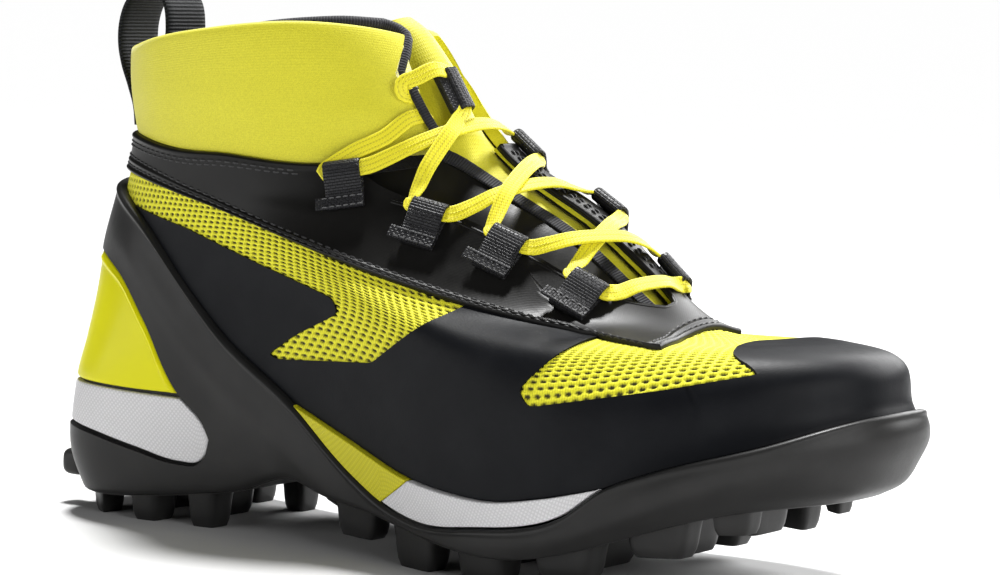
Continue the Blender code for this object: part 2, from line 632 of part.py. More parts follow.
def build_insole():
    """Footbed in the foam's sunk bed."""
    u = np.arange(AROUND) / AROUND
    ring = surface(u, FOAM_LEVELS[-1])
    half = AROUND // 2
    points, bottoms, tops = [], [], []
    for k in range(INSOLE_ENDS, half + 1 - INSOLE_ENDS):
        for chain, lift in ((bottoms, GAP), (tops, GAP + INSOLE_THICK)):
            chain.append([])
            for share in INSOLE_SHARES:
                chain[-1].append(len(points))
                points.append(bed_point(ring[k], ring[AROUND - k], share, lift))
    faces = []
    for chains in (bottoms, tops):
        for first, second in zip(chains, chains[1:]):
            faces += stitch(first, second)
    for edge in (0, -1):
        for k in range(len(bottoms) - 1):
            faces.append((bottoms[k][edge], bottoms[k + 1][edge], tops[k + 1][edge], tops[k][edge]))
        for c in range(2):
            faces.append((bottoms[edge][c], bottoms[edge][c + 1], tops[edge][c + 1], tops[edge][c]))
    return from_grid("insole", points, faces, "shoe")


def over_instep(level, y, out):
    """Point at a ring's y over the instep."""
    return skin(u_at(level, y), level, out)


def loop_frame(level, y, climb, swing, out):
    """Place and axes of a lace loop: across to the throat, along its edge, and out from the last."""
    here = over_instep(level, y, out)
    along = over_instep(level + climb, y + swing, out) - over_instep(level - climb, y - swing, out)
    along = along / np.linalg.norm(along)
    normal = outward(u_at(level, y), level)
    normal = normal - along * (normal @ along)
    normal = normal / np.linalg.norm(normal)
    across = np.cross(along, normal)
    if across[2] < 0:
        across = -across
    return here, across, along, normal


def loop_profile():
    """Outline of the folded webbing and its hole, as across and out from its seat."""
    centre = LOOP_BORE + WEB_THICK
    angles = [math.pi * (k / LOOP_SIDES - 0.5) for k in range(LOOP_SIDES + 1)]
    fold = [(centre * math.cos(a), centre + centre * math.sin(a)) for a in angles]
    outer = [(-LOOP_REACH, 0.0)] + fold
    outer += [(-FOLD_RUN, 2 * centre), (-SEWN_START, 2.2 * WEB_THICK), (-LOOP_REACH, 2 * WEB_THICK)]
    hole = [(LOOP_BORE * math.cos(a), centre + LOOP_BORE * math.sin(a)) for a in angles]
    hole += [(-FOLD_RUN, centre + 0.8 * LOOP_BORE), (-HOLE_END, centre), (-FOLD_RUN, centre - LOOP_BORE)]
    return outer, hole


def raised(outline, lift):
    """A loop's outline with its sewn end lifted."""
    return [(a, b + lift * max(0.0, -a) / LOOP_REACH) for a, b in outline]


def lace_loop(name, level, y, climb, swing, lift, seat):
    """A folded webbing loop, open along the throat for the lace."""
    here, across, along, normal = loop_frame(level, y, climb, swing, seat)
    outer, hole = (raised(outline, lift) for outline in loop_profile())
    solids = []
    for kind, outline, half in (("loop", outer, WEB_WIDTH / 2), ("hole", hole, WEB_WIDTH)):
        bm = bmesh.new()
        ends = []
        for end in (-half, half):
            middle = here + along * end
            ends.append([bm.verts.new((middle + across * a + normal * b) * MM) for a, b in outline])
        bm.faces.new(ends[0])
        bm.faces.new(ends[1][::-1])
        count = len(outline)
        for k in range(count):
            nxt = (k + 1) % count
            bm.faces.new((ends[0][k], ends[1][k], ends[1][nxt], ends[0][nxt]))
        bmesh.ops.recalc_face_normals(bm, faces=bm.faces)
        solids.append(add_object(name if kind == "loop" else f"{name}_hole", bm, "shoe"))
    return combine(solids[0], "DIFFERENCE", solids[1])


def loop_seats():
    """Place and seat of every lace loop, by name."""
    seats = {f"lace_loop_{name}": (*place, EYESTAY[1] + LOOP_SEAT) for name, *place in LOOPS}
    name, *place = TONGUE_LOOP
    seats[f"lace_loop_{name}"] = (*place, TONGUE[1] + tongue_crown(place[0], place[1]) + LOOP_SEAT)
    return seats


def loop_end(seats, name, upper_end):
    """Where the lace comes out of a loop, and the loop's outward direction there."""
    level, y, climb, swing, _, seat = seats[f"lace_loop_{name}"]
    here, _, along, normal = loop_frame(level, y, climb, swing, seat)
    centre = here + normal * (LOOP_BORE + WEB_THICK)
    return centre + along * (LACE_START if upper_end else -LACE_START), normal


def ribbon(name, route, normals, width, thick, group="shoe"):
    """A flat strap along a route, with the given outward direction at each point."""
    route = np.array(route, float)
    runs = np.gradient(route, axis=0)
    bm = bmesh.new()
    sections = []
    for place, run, normal in zip(route, runs, normals):
        run = run / np.linalg.norm(run)
        wide = np.cross(normal, run)
        wide = wide / np.linalg.norm(wide)
        out = np.cross(run, wide)
        corners = ((-1, -1), (1, -1), (1, 1), (-1, 1))
        section = [place + wide * (a * width / 2) + out * (b * thick / 2) for a, b in corners]
        sections.append([bm.verts.new(c * MM) for c in section])
    for first, second in zip(sections, sections[1:]):
        for k in range(4):
            nxt = (k + 1) % 4
            bm.faces.new((first[k], first[nxt], second[nxt], second[k]))
    bm.faces.new(sections[0][::-1])
    bm.faces.new(sections[-1])
    bmesh.ops.recalc_face_normals(bm, faces=bm.faces)
    return add_object(name, bm, group)


def nearest_shares(first, second):
    """How far along two straight strands their nearest points lie."""
    (a, _), (b, _) = first
    (c, _), (d, _) = second
    matrix = np.stack([b - a, c - d], axis=1)
    shares, *_ = np.linalg.lstsq(matrix, c - a, rcond=None)
    return np.clip(shares, 0.1, 0.9)


def strand(name, ends, group="shoe", via=None, share=0.5):
    """A stretch of lace between two loop ends, bowed outward or through a crossing."""
    (a, normal_a), (b, normal_b) = ends
    if via is None:
        via = (a + b) / 2 + (normal_a + normal_b) / 2 * STRAND_LIFT
    push = via - (a + (b - a) * share)
    route, normals = [], []
    for k in range(STRAND_STEPS + 1):
        t = k / STRAND_STEPS
        rise = t / share if t < share else (1 - t) / (1 - share)
        normal = normal_a * (1 - t) + normal_b * t
        normals.append(normal / np.linalg.norm(normal))
        route.append(a + (b - a) * t + push * math.sin(math.pi / 2 * rise))
    return ribbon(name, route, normals, LACE_WIDTH, LACE_THICK, group)


def crossing(name, first, second, lift=STRAND_LIFT):
    """Two strands joined where they cross."""
    shares = nearest_shares(first, second)
    points = [a[0] + (b[0] - a[0]) * share for (a, b), share in zip((first, second), shares)]
    out = first[0][1] + first[1][1]
    via = (points[0] + points[1]) / 2 + out / np.linalg.norm(out) * lift
    under = strand(f"{name}_under", second, "cutters", via, shares[1])
    return combine(strand(name, first, "shoe", via, shares[0]), "UNION", under, "MANIFOLD")


def build_lace(seats):
    """Flat lace: a bar at the foot of the throat and the crossings above it."""
    def end(name, upper_end):
        return loop_end(seats, name, upper_end)

    pieces = [strand("lace_bar", (end("lateral_4", False), end("medial_4", False)))]
    for low, high in ((4, 3), (3, 2)):
        first = (end(f"lateral_{low}", True), end(f"medial_{high}", False))
        second = (end(f"medial_{low}", True), end(f"lateral_{high}", False))
        pieces.append(crossing(f"lace_cross_{low}{high}", first, second))
    first = (end("medial_2", True), end("lateral_1", False))
    second = (end("lateral_2", True), end("tongue", False))
    return pieces + [crossing("lace_cross_21", first, second, TOP_LIFT)]


def build_pull_loop():
    """Webbing loop at the back of the cuff."""
    route = [(x, 0.0, z) for x, z in PULL_PATH]
    runs = np.gradient(np.array(route), axis=0)
    normals = [np.array((-run[2], 0.0, run[0])) for run in runs]
    return ribbon("pull_loop", route, normals, PULL_WIDTH, PULL_THICK)


def box_outline(start, end):
    """A tall rectangle in side view."""
    low, high = -HALF_SPAN, HALF_SPAN
    return [(start, low), (end, low), (end, high), (start, high)]


def inset(outline, gap):
    """A closed outline drawn in by a gap, corner by corner."""
    points = np.array(outline, float)
    before = points - np.roll(points, 1, axis=0)
    after = np.roll(points, -1, axis=0) - points
    turn = np.sign(np.sum(np.roll(points, 1, axis=0)[:, 0] * points[:, 1]
                          - points[:, 0] * np.roll(points, 1, axis=0)[:, 1]))

    def normals(edges):
        edges = edges / np.linalg.norm(edges, axis=1, keepdims=True)
        return np.stack([-edges[:, 1], edges[:, 0]], -1) * turn

    first, second = normals(before), normals(after)
    bisector = first + second
    bisector = bisector / np.sum(bisector * first, axis=1, keepdims=True)
    return [tuple(p) for p in points + bisector * gap]


def ordered(outline):
    """Points of a side-view outline sorted round their middle."""
    points = np.array(outline, float)
    middle = points.mean(axis=0)
    order = np.argsort(np.arctan2(points[:, 1] - middle[1], points[:, 0] - middle[0]))
    return [tuple(p) for p in points[order]]


FINISHES = {
    "outsole": ("black rubber", (0.018, 0.018, 0.020), 0.5),
    "heel_midsole": ("grey foam", (0.60, 0.61, 0.62), 0.6),
    "forefoot_midsole": ("grey foam", (0.60, 0.61, 0.62), 0.6),
    "arch_wedge_lateral": ("yellow foam", (0.80, 0.78, 0.02), 0.5),
    "arch_wedge_medial": ("yellow foam", (0.80, 0.78, 0.02), 0.5),
    "heel_clip": ("yellow moulding", (0.78, 0.78, 0.02), 0.25),
    "insole": ("black fabric", (0.03, 0.03, 0.03), 0.9),
    "upper": ("yellow mesh", (0.78, 0.80, 0.03), 0.8),
    "film_overlay": ("black film", (0.025, 0.026, 0.028), 0.6),
    "eyestay": ("black smooth sheet", (0.02, 0.02, 0.02), 0.4),
    "ankle_cuff": ("yellow stretch fabric", (0.78, 0.78, 0.05), 0.7),
    "cuff_binding": ("black binding", (0.02, 0.02, 0.02), 0.8),
    "tongue": ("yellow padded fabric", (0.75, 0.76, 0.04), 0.7),
    "pull_loop": ("black webbing", (0.02, 0.02, 0.02), 0.8),
    "lace": ("yellow lace", (0.82, 0.80, 0.03), 0.6),
    "lace_loop": ("black webbing", (0.02, 0.02, 0.02), 0.8),
}


def dress(part):
    """Give a piece a material of its own."""
    keys = sorted((key for key in FINISHES if part.name.startswith(key)), key=len)
    kind, colour, roughness = FINISHES[keys[-1]]
    part.data.materials.append(material(f"{part.name} {kind}", colour, roughness))


def build_shoe():
    """All the pieces, standing on the floor about the middle of their footprint."""
    parts = [build_outsole(), *build_midsoles(), *build_arch_wedges(), build_heel_clip(), build_insole()]
    parts += [build_upper(), build_film(), build_eyestay(), build_cuff(), build_binding(), build_tongue()]
    seats = loop_seats()
    parts += [lace_loop(name, *seat) for name, seat in seats.items()]
    parts += [build_pull_loop(), *build_lace(seats)]
    for part in parts:
        dress(part)
    stand = bpy.data.objects.new("shoe_stand", None)
    collection("shoe").objects.link(stand)
    stand.location = (-ORIGIN[0] * MM, -ORIGIN[1] * MM, 0.0)
    for made in parts + list(collection("cutters").objects):
        made.parent = stand
        made.matrix_parent_inverse = Matrix.Identity(4)


for existing in list(bpy.data.objects):
    bpy.data.objects.remove(existing, do_unlink=True)
build_shoe()
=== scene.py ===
"""Looks of a right canyoneering shoe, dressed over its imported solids.

Sizes are millimetres in the shoe's own frame: x from the heel to the toe, -y to the outer side, z up from the
floor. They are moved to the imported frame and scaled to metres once, where a mesh is made.
"""
import logging
import math
from dataclasses import dataclass, field
from enum import Enum, auto
from typing import Callable, Optional, Sequence

import bmesh
import bpy
import numpy as np
from mathutils import Matrix, Vector
from mathutils.bvhtree import BVHTree


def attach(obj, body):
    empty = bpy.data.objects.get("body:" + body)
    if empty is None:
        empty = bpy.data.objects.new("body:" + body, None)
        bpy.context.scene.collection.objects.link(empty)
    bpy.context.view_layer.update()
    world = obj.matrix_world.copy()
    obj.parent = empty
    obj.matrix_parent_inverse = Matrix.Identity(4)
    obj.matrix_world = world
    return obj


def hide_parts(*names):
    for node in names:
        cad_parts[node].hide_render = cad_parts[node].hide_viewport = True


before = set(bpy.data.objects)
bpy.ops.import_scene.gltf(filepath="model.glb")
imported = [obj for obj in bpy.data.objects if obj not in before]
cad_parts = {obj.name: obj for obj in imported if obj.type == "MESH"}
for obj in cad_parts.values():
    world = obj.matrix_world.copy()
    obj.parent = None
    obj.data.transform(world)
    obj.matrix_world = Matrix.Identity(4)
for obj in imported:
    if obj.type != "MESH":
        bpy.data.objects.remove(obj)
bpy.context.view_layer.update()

LOG = logging.getLogger("shoe")

MM = 0.001
ORIGIN = np.array((143.5, 0.5, 0.0))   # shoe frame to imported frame
BODY = "root"
AROUND = 320                           # points round a full ring
SMOOTH_ANGLE = math.radians(38)
SIDE_CUT = ("y", -90, 90)              # axis and ends of a cutter through both sides
PLAN_CUT = ("z", 40, 200)              # axis and ends of a cutter from above
WAVE = 100 * math.pi                   # wave scale that gives bands one millimetre apart

Array = np.ndarray
Pair = tuple[Array, Array]
Height = Callable[[Array], Array]
Piece = bpy.types.Object
Socket = bpy.types.NodeSocket

# Side-view lines, as x and z
SOLE_EDGE = ((-34, 111.5), (8, 109), (20.5, 105), (32, 99.5), (55.5, 78), (72, 63), (100.5, 45), (125, 27),
             (142.5, 18.5), (159.5, 15), (182.5, 17), (216, 24.5), (229, 34), (240, 38.5), (270.5, 48.5),
             (290, 56), (328, 62))
FOAM_TOP = ((100.5, 45), (127, 36), (155, 28), (171, 26.3), (190, 26), (208, 29), (229, 34))
WEDGE_END = ((140.5, 19), (155, 28))
EYESTAY_EDGE = ((-34, 112.5), (24.5, 112), (64.5, 105), (100, 95.5), (135.5, 86.2), (171, 78.8), (198, 74.8),
                (221, 72.9), (231, 72.6), (330, 72.6))
WINDOW_LOW = ((-40, 29.5), (19, 27), (36, 23.5), (53, 20.2), (60, 20.6), (63.5, 23.6), (65.5, 29.5))
WINDOW_HIGH = ((-40, 83.5), (17, 84), (24.5, 80.5), (39, 66.5), (54.5, 42.5), (63, 34.6), (65.5, 29.5))
CLIP_FOOT = ((-40, 43.6), (18.5, 43.6), (36, 43.2), (56, 43.2))
HEEL_FOAM_TOP = ((-40, 42.8), (20, 42.8), (37, 42.2), (70, 41.6))
REAR_WINDOW = ((-34, 109), (26.5, 102.3), (55, 96.8), (88, 87.5), (119.5, 79.5), (121.5, 75), (102, 66.5),
               (90, 59.3), (94, 58), (137, 61.3), (155.5, 73.5), (169.5, 84), (56.5, 113.5), (-34, 114.5))
FRONT_WINDOW = ((210, 80), (208.7, 73.2), (206.6, 71), (197.8, 60.5), (197.8, 58.5), (201.4, 54.9),
                (219, 58.4), (241.5, 62.9), (262.5, 68), (272, 70.5), (272, 95), (212, 95))

# Plan lines, as x and y: front of the eyestay and back of the toe cap
EYESTAY_FRONT = ((231, -70), (234, -34), (233.5, -28), (231, -18), (227.5, -7.5), (226, 5.5), (226, 16),
                 (228, 27), (231, 38), (231, 70))
TOE_CAP_BACK = ((268, -70), (268, -31), (264.5, -26.8), (261.5, -26), (257, -25), (254, -23), (252.5, -19.5),
                (248, -9), (244, 0), (242, 10), (244, 21), (250, 33), (254, 38), (259, 40.5), (268, 43),
                (268, 70))
# Plan of a slot, as x, y of its middle and half width
THROAT = ((214, 5, 2.5), (211, 4, 5.5), (205, 2, 8.5), (195, -0.8, 10.2), (180, -2.8, 11.2),
          (170.5, -3.7, 11.7), (144, -5, 14), (112.5, -4.8, 19.8), (76, -2, 24))
CUFF_SLOT = ((166, 3, 13), (136, 3.5, 13), (109, 8, 8.5), (75, 8, 8.5))


def curve_through(knots: Sequence[float], values: Array, at: Array) -> Array:
    """Smooth curve through values[..., k] at knots[k].

    Args:
        knots: rising places of the values.
        values: one value for each knot, on the last axis.
        at: where the curve is read.

    Returns:
        The curve's values, shaped like `at`.
    """
    knots = np.asarray(knots, float)
    values = np.asarray(values, float)
    at = np.clip(at, knots[0], knots[-1])
    steps = np.diff(knots)
    slopes = np.diff(values, axis=-1) / steps
    inner = (slopes[..., :-1] * steps[1:] + slopes[..., 1:] * steps[:-1]) / (steps[:-1] + steps[1:])
    tangents = np.concatenate([slopes[..., :1], inner, slopes[..., -1:]], axis=-1)
    k = np.clip(np.searchsorted(knots, at, side="right") - 1, 0, len(knots) - 2)

    def pick(table: Array, index: Array) -> Array:
        """The table's values at an index for each place."""
        if table.ndim == 1:
            return table[index]
        return np.take_along_axis(table, index[..., None], -1)[..., 0]

    t = (at - knots[k]) / steps[k]
    start = (2 * t**3 - 3 * t**2 + 1) * pick(values, k) + (t**3 - 2 * t**2 + t) * steps[k] * pick(tangents, k)
    end = (3 * t**2 - 2 * t**3) * pick(values, k + 1) + (t**3 - t**2) * steps[k] * pick(tangents, k + 1)
    return start + end


def run_along(points: Array) -> Array:
    """Distance along a line of points, from 0 at the first."""
    return np.concatenate([[0], np.cumsum(np.linalg.norm(np.diff(points, axis=0), axis=1))])


def smooth_line(points: Sequence[Sequence[float]], spacing: float = 1.5) -> Array:
    """A line rounded through its points.

    Args:
        points: the line's own points, in any number of dimensions.
        spacing: distance between the points that come back.

    Returns:
        Points along the rounded line.
    """
    points = np.array(points, float)
    run = run_along(points)
    at = np.linspace(0, run[-1], max(3, int(run[-1] / spacing)))
    return np.stack([curve_through(run, points[:, c], at) for c in range(points.shape[1])], -1)


def height_of(line: Sequence[Sequence[float]], lift: float = 0.0) -> Height:
    """A side-view line as a height over points of the shoe.

    Args:
        line: x and z along the line, with rising x.
        lift: how much higher the line is read.

    Returns:
        A function from points to the line's height at their x.
    """
    rounded = smooth_line(line)
    return lambda points: np.interp(points[..., 0], rounded[:, 0], rounded[:, 1]) + lift


def rounded_outline(points: Sequence[Sequence[float]], radius: float, steps: int = 5) -> Array:
    """A closed flat outline with its corners rounded.

    Args:
        points: the outline's corners in order.
        radius: how far from a corner the rounding starts.
        steps: points on each rounding.

    Returns:
        The rounded outline's points.
    """
    corners = np.array(points, float)
    out = []
    for before, here, after in zip(np.roll(corners, 1, 0), corners, np.roll(corners, -1, 0)):
        ends = []
        for other in (before, after):
            reach = np.linalg.norm(other - here)
            ends.append(here + (other - here) * min(radius, 0.45 * reach) / reach)
        for t in np.linspace(0, 1, steps):
            out.append((1 - t) ** 2 * ends[0] + 2 * t * (1 - t) * here + t**2 * ends[1])
    return np.array(out)


def inside_outline(points: Array, outline: Array) -> Array:
    """Which flat points lie inside an outline, by counting crossings.

    Args:
        points: flat points.
        outline: corners of a closed outline.

    Returns:
        True for each point inside.
    """
    x, y = points[..., 0], points[..., 1]
    found = np.zeros(x.shape, bool)
    for (x0, y0), (x1, y1) in zip(outline, np.roll(outline, -1, 0)):
        if y0 == y1:
            continue
        crosses = (y0 > y) != (y1 > y)
        found ^= crosses & (x < (x1 - x0) * (y - y0) / (y1 - y0) + x0)
    return found


def unit(vectors: Array) -> Array:
    """Vectors scaled to length one."""
    return vectors / np.maximum(np.linalg.norm(vectors, axis=-1, keepdims=True), 1e-9)


def split(spots: Sequence[tuple]) -> Pair:
    """The points and the normals of a list of pairs."""
    points, normals = zip(*spots)
    return np.array(points), np.array(normals)


@dataclass(frozen=True)
class Last:
    """The form that every layer of the shoe follows.

    A ring is a level of the form, from the tread (0) over the feather edge (2), fullest line (3), vamp (4),
    throat (5) and instep (6) to the cuff's seam (7) and rim (8). Along a ring, u runs 0 to 1 from the heel
    round the outer side to the toe (0.5) and back.
    """
    columns: tuple = ("level", "heel_x", "front_x", "front_y", "z_heel", "z_waist", "z_ball", "z_front",
                      "w_heel", "w_waist", "w_ball", "w_toe", "square", "fall")
    rings: tuple = (
        (0, 3.0, 277, 9, 7.0, 16, 9.5, 32, 31.0, 27, 46, 34, 0.80, 0),
        (1, -2.5, 292, 9, 22.5, 25, 18.5, 48, 34.0, 29, 49, 37, 0.80, 0),
        (2, -1.5, 289, 9, 43.0, 39.5, 28.5, 59, 34.0, 31, 49, 36, 0.80, 0),
        (3, 1.0, 286, 9, 56.5, 57, 49.0, 70, 33.5, 33, 49, 35, 0.84, 0),
        (4, 2.0, 270, 9, 72.5, 77, 67.5, 74.7, 31.5, 34, 44, 30, 0.90, 2),
        (5, 1.8, 226, 10, 89.5, 92.5, 79.5, 76, 28.5, 35, 35, 22, 0.95, 2),
        (6, 7.4, 184, 12, 108.0, 106, 101.0, 104.5, 27.0, 35, 29, 18, 0.95, 0),
        (7, 12.2, 145, 10, 127.0, 119.5, 119.0, 126.5, 25.5, 36, 30, 18, 0.95, 0),
        (8, 11.2, 114, 5, 153.5, 159, 163.5, 165, 23.5, 36, 31, 19, 0.95, 2),
        (9, 9.5, 98, 3, 169.5, 175, 180.0, 182, 23.0, 36, 31, 19, 0.95, 2),
    )
    stations: tuple = (0.12, 0.40, 0.70, 0.92)
    height_stations: tuple = (0.0, 0.06, 0.40, 0.70, 0.93, 1.0)
    centre_line: tuple = ((0, 60, 120, 190, 250, 300), (0, -2, -4, -3, 4, 9))

    def sizes(self, level: Array) -> dict:
        """The ring table's columns, each read at a level."""
        table = np.array(self.rings, float)
        return {name: curve_through(table[:, 0], table[:, c], level) for c, name in enumerate(self.columns)}

    def surface(self, u: Array, level: Array) -> Array:
        """Points on the form.

        Args:
            u: place along the ring.
            level: ring.

        Returns:
            Points with x, y and z on the last axis.
        """
        u, level = np.broadcast_arrays(np.asarray(u, float) % 1.0, np.asarray(level, float))
        ring = self.sizes(level)
        s = (1 - np.cos(2 * np.pi * u)) / 2
        x = ring["heel_x"] + (ring["front_x"] - ring["heel_x"]) * s
        side = np.where(u <= 0.5, -1.0, 1.0)

        def roundness(q: Array) -> Array:
            """Half circle over 0 to 1."""
            return 2 * np.sqrt(np.clip(q * (1 - q), 0, 1))

        inside = np.clip(s, 0.02, 0.98)
        width = 0.0
        for k, name in enumerate(("w_heel", "w_waist", "w_ball", "w_toe")):
            weight = 1.0
            for j, other in enumerate(self.stations):
                if j != k:
                    weight = weight * (inside - other) / (self.stations[k] - other)
            width = width + weight * ring[name] / roundness(self.stations[k]) ** ring["square"]
        width = width * roundness(s) ** ring["square"]
        lean = ring["front_y"] - curve_through(*self.centre_line, ring["front_x"])
        y = curve_through(*self.centre_line, x) + lean * s**2 + side * width
        heights = np.stack([ring["z_heel"], 0.97 * ring["z_heel"] + 0.03 * ring["z_waist"], ring["z_waist"],
                            ring["z_ball"], 0.85 * ring["z_front"] + 0.15 * ring["z_ball"],
                            ring["z_front"]], -1)
        fall = ring["fall"] * (1 + side * roundness(s)) / 2
        return np.stack([x, y, curve_through(self.height_stations, heights, s) - fall], -1)

    def outward(self, u: Array, level: Array) -> Array:
        """Unit normals of the form.

        Args:
            u: places along the rings.
            level: ring.

        Returns:
            Normals, with x, y and z on the last axis.
        """
        du, dv = 1e-3, 0.02
        along = self.surface(np.asarray(u) + du, level) - self.surface(np.asarray(u) - du, level)
        up = self.surface(u, np.asarray(level) + dv) - self.surface(u, np.asarray(level) - dv)
        return unit(np.cross(along, up))

    def skin(self, u: Array, level: Array, out: Array = 0.0) -> Array:
        """Points at a distance from the form."""
        return self.surface(u, level) + self.outward(u, level) * np.asarray(out)[..., None]

    def u_at(self, level: float, y: float) -> float:
        """Where a ring's front half passes a given y."""
        u = np.linspace(0.2, 0.8, 601)
        return float(np.interp(y, self.surface(u, level)[:, 1], u))

    def over_instep(self, level: float, y: float, out: float) -> Pair:
        """Point and normal at a ring's y on its front half, at a distance from the form."""
        u = self.u_at(level, y)
        return self.skin(u, level, out), self.outward(u, level)

    def u_of_x(self, level: float, x: float) -> float:
        """Where a ring's outer half passes a given x."""
        u = np.linspace(0.0, 0.5, 601)
        return float(np.interp(x, self.surface(u, level)[:, 0], u))

    def level_on(self, u: Array, above: Callable[[Array], Array], low: float, high: float) -> Array:
        """Level at which each u crosses a line.

        Args:
            u: places along the rings.
            above: a function from points to a number that is positive above the line.
            low: a level under the line.
            high: a level over the line.

        Returns:
            One level for each u.
        """
        bottom, top = np.full(len(u), float(low)), np.full(len(u), float(high))
        for _ in range(32):
            middle = (bottom + top) / 2
            over = above(self.surface(u, middle)) > 0
            top = np.where(over, middle, top)
            bottom = np.where(over, bottom, middle)
        return (bottom + top) / 2

    def level_at_height(self, u: Array, line: Height, low: float = 0.0, high: float = 7.0) -> Array:
        """Level at which each u crosses a side-view line."""
        return self.level_on(u, lambda points: points[..., 2] - line(points), low, high)

    def level_at_run(self, u: Array, low: Array, high: Array, run: Array) -> Array:
        """Level at a distance up the form from a low line.

        Args:
            u: places along the rings.
            low: level of the low line at each u.
            high: level of the high line at each u.
            run: distances from the low line, one row for each set and one column for each u.

        Returns:
            Levels shaped like `run`.
        """
        levels = low + (high - low) * np.linspace(0, 1, 41)[:, None]
        points = self.surface(u[None, :], levels)
        steps = np.linalg.norm(np.diff(points, axis=0), axis=-1)
        length = np.vstack([np.zeros(len(u)), np.cumsum(steps, axis=0)])
        return np.stack([np.interp(run[:, k], length[:, k], levels[:, k]) for k in range(len(u))], -1)

    def spans(self, u: Array, low: Array, high: Array) -> Array:
        """Distance up the form from a low to a high line, at each u."""
        levels = low + (high - low) * np.linspace(0, 1, 41)[:, None]
        points = self.surface(u[None, :], levels)
        return np.linalg.norm(np.diff(points, axis=0), axis=-1).sum(axis=0)

    def ring_run(self, u: Array, level: float) -> Array:
        """Distance along a ring from the heel.

        Args:
            u: places along the ring.
            level: ring.

        Returns:
            One distance for each place.
        """
        fine = np.linspace(-0.6, 1.1, 3401)
        points = self.surface(fine, level)
        run = run_along(points)
        return np.interp(u, fine, run - np.interp(0.0, fine, run))


LAST = Last()


def seam_level(u: Array) -> Array:
    """Level of the seam between the eyestay band and the cuff, lifted a little along both sides."""
    s = (1 - np.cos(2 * np.pi * np.asarray(u))) / 2
    ahead = np.clip((s - 0.5) / 0.3, 0, 1)
    return 6.94 + 0.06 * ahead**2 * (3 - 2 * ahead) + 0.155 * np.exp(-(((s - 0.46) / 0.22) ** 2))


# Soft creases, as the two ends on the form, half width and depth; a ridge has a negative depth
CREASES = (
    ((196, -42, 66), (204, -27, 74), 3.2, 0.75), ((206, -45, 62), (214, -32, 72), 3.4, 0.65),
    ((217, -46, 58), (224, -36, 68), 3.0, 0.45), ((201, -45, 62), (209, -30, 73), 2.6, -0.40),
    ((196, 46, 62), (206, 33, 72), 3.4, 0.65), ((210, 47, 58), (218, 37, 68), 3.2, 0.50),
    ((150, -30, 92), (163, -24, 100), 3.6, 0.55), ((168, -27, 84), (178, -21, 92), 3.4, 0.50),
    ((158, -27, 88), (170, -22, 97), 3.0, -0.35), ((186, -24, 78), (195, -17, 85), 3.2, 0.45),
    ((150, 33, 90), (165, 27, 99), 3.8, 0.55), ((110, -22, 124), (133, -9, 129), 4.5, 1.30),
    ((104, -28, 134), (124, -15, 138), 5.0, -0.50), ((30, -28, 133), (75, -32, 129), 6.0, 0.55),
    ((22, -22, 141), (58, -29, 140), 6.0, -0.35), ((30, 26, 133), (75, 30, 130), 6.0, 0.55),
    ((104, -36, 76), (128, -39, 66), 5.0, 0.45), ((60, -33, 84), (92, -36, 76), 6.0, -0.30),
)


def folds(points: Array) -> Array:
    """How deep the creases lie at points of the form.

    Args:
        points: points on the form.

    Returns:
        One depth for each point, negative on a ridge.
    """
    depth = np.zeros(points.shape[:-1])
    for start, end, half, sink in CREASES:
        start, run = np.array(start, float), np.subtract(end, start).astype(float)
        share = np.clip((points - start) @ run / (run @ run), 0, 1)
        far = np.linalg.norm(points - start - share[..., None] * run, axis=-1)
        ends = np.sin(np.pi * np.clip(share, 0.12, 0.88)) ** 0.7
        depth += sink * ends * np.exp(-((far / half) ** 2))
    return depth


def sunk_folds(points: Array, _share: Array) -> Array:
    """Swelling of a layer that follows the creases, the same at any share of its height."""
    return -folds(points)


def wedge_slant(points: Array) -> Array:
    """Height of the slanted line where the arch wedge meets the pale foam."""
    (x0, z0), (x1, z1) = WEDGE_END
    return z0 + (points[..., 0] - x0) * (z1 - z0) / (x1 - x0)


class Caster:
    """Drops flat lines onto the form."""

    def __init__(self, last: Last) -> None:
        """Make the tree that rays are cast on.

        Args:
            last: the form.
        """
        u = np.arange(480) / 480
        levels = np.linspace(0, 9, 260)
        points = last.surface(u[None, :], levels[:, None]).reshape(-1, 3)
        faces = grid_faces(len(levels), len(u), wrap=True)
        self.tree = BVHTree.FromPolygons(points.tolist(), faces.tolist())

    def cast(self, start: Sequence[float], way: Sequence[float], out: float) -> Pair:
        """Point and normal where a ray meets the form.

        Args:
            start: where the ray starts.
            way: its direction.
            out: distance from the form.

        Returns:
            The point and the outward normal.
        """
        place, normal, *_ = self.tree.ray_cast(Vector(start), Vector(way))
        if place is None:
            place, normal, *_ = self.tree.find_nearest(Vector(start))
        if normal.dot(Vector(way)) > 0:
            normal = -normal
        return np.array(place + normal * out), np.array(normal)

    def from_above(self, line: Array, out: float) -> Pair:
        """Points and normals of a plan line on top of the shoe."""
        return split([self.cast((x, y, 300.0), (0, 0, -1), out) for x, y in line])


def grid_faces(rows: int, columns: int, wrap: bool = False, start: int = 0) -> Array:
    """Quads of a grid of points.

    Args:
        rows: rows of points.
        columns: points in a row.
        wrap: whether the last column joins the first.
        start: index of the first point.

    Returns:
        One row of four indices for each quad.
    """
    r, c = np.meshgrid(np.arange(rows - 1), np.arange(columns if wrap else columns - 1), indexing="ij")
    nxt = (c + 1) % columns
    corners = (r * columns + c, r * columns + nxt, (r + 1) * columns + nxt, (r + 1) * columns + c)
    return np.stack([k.ravel() for k in corners], -1) + start


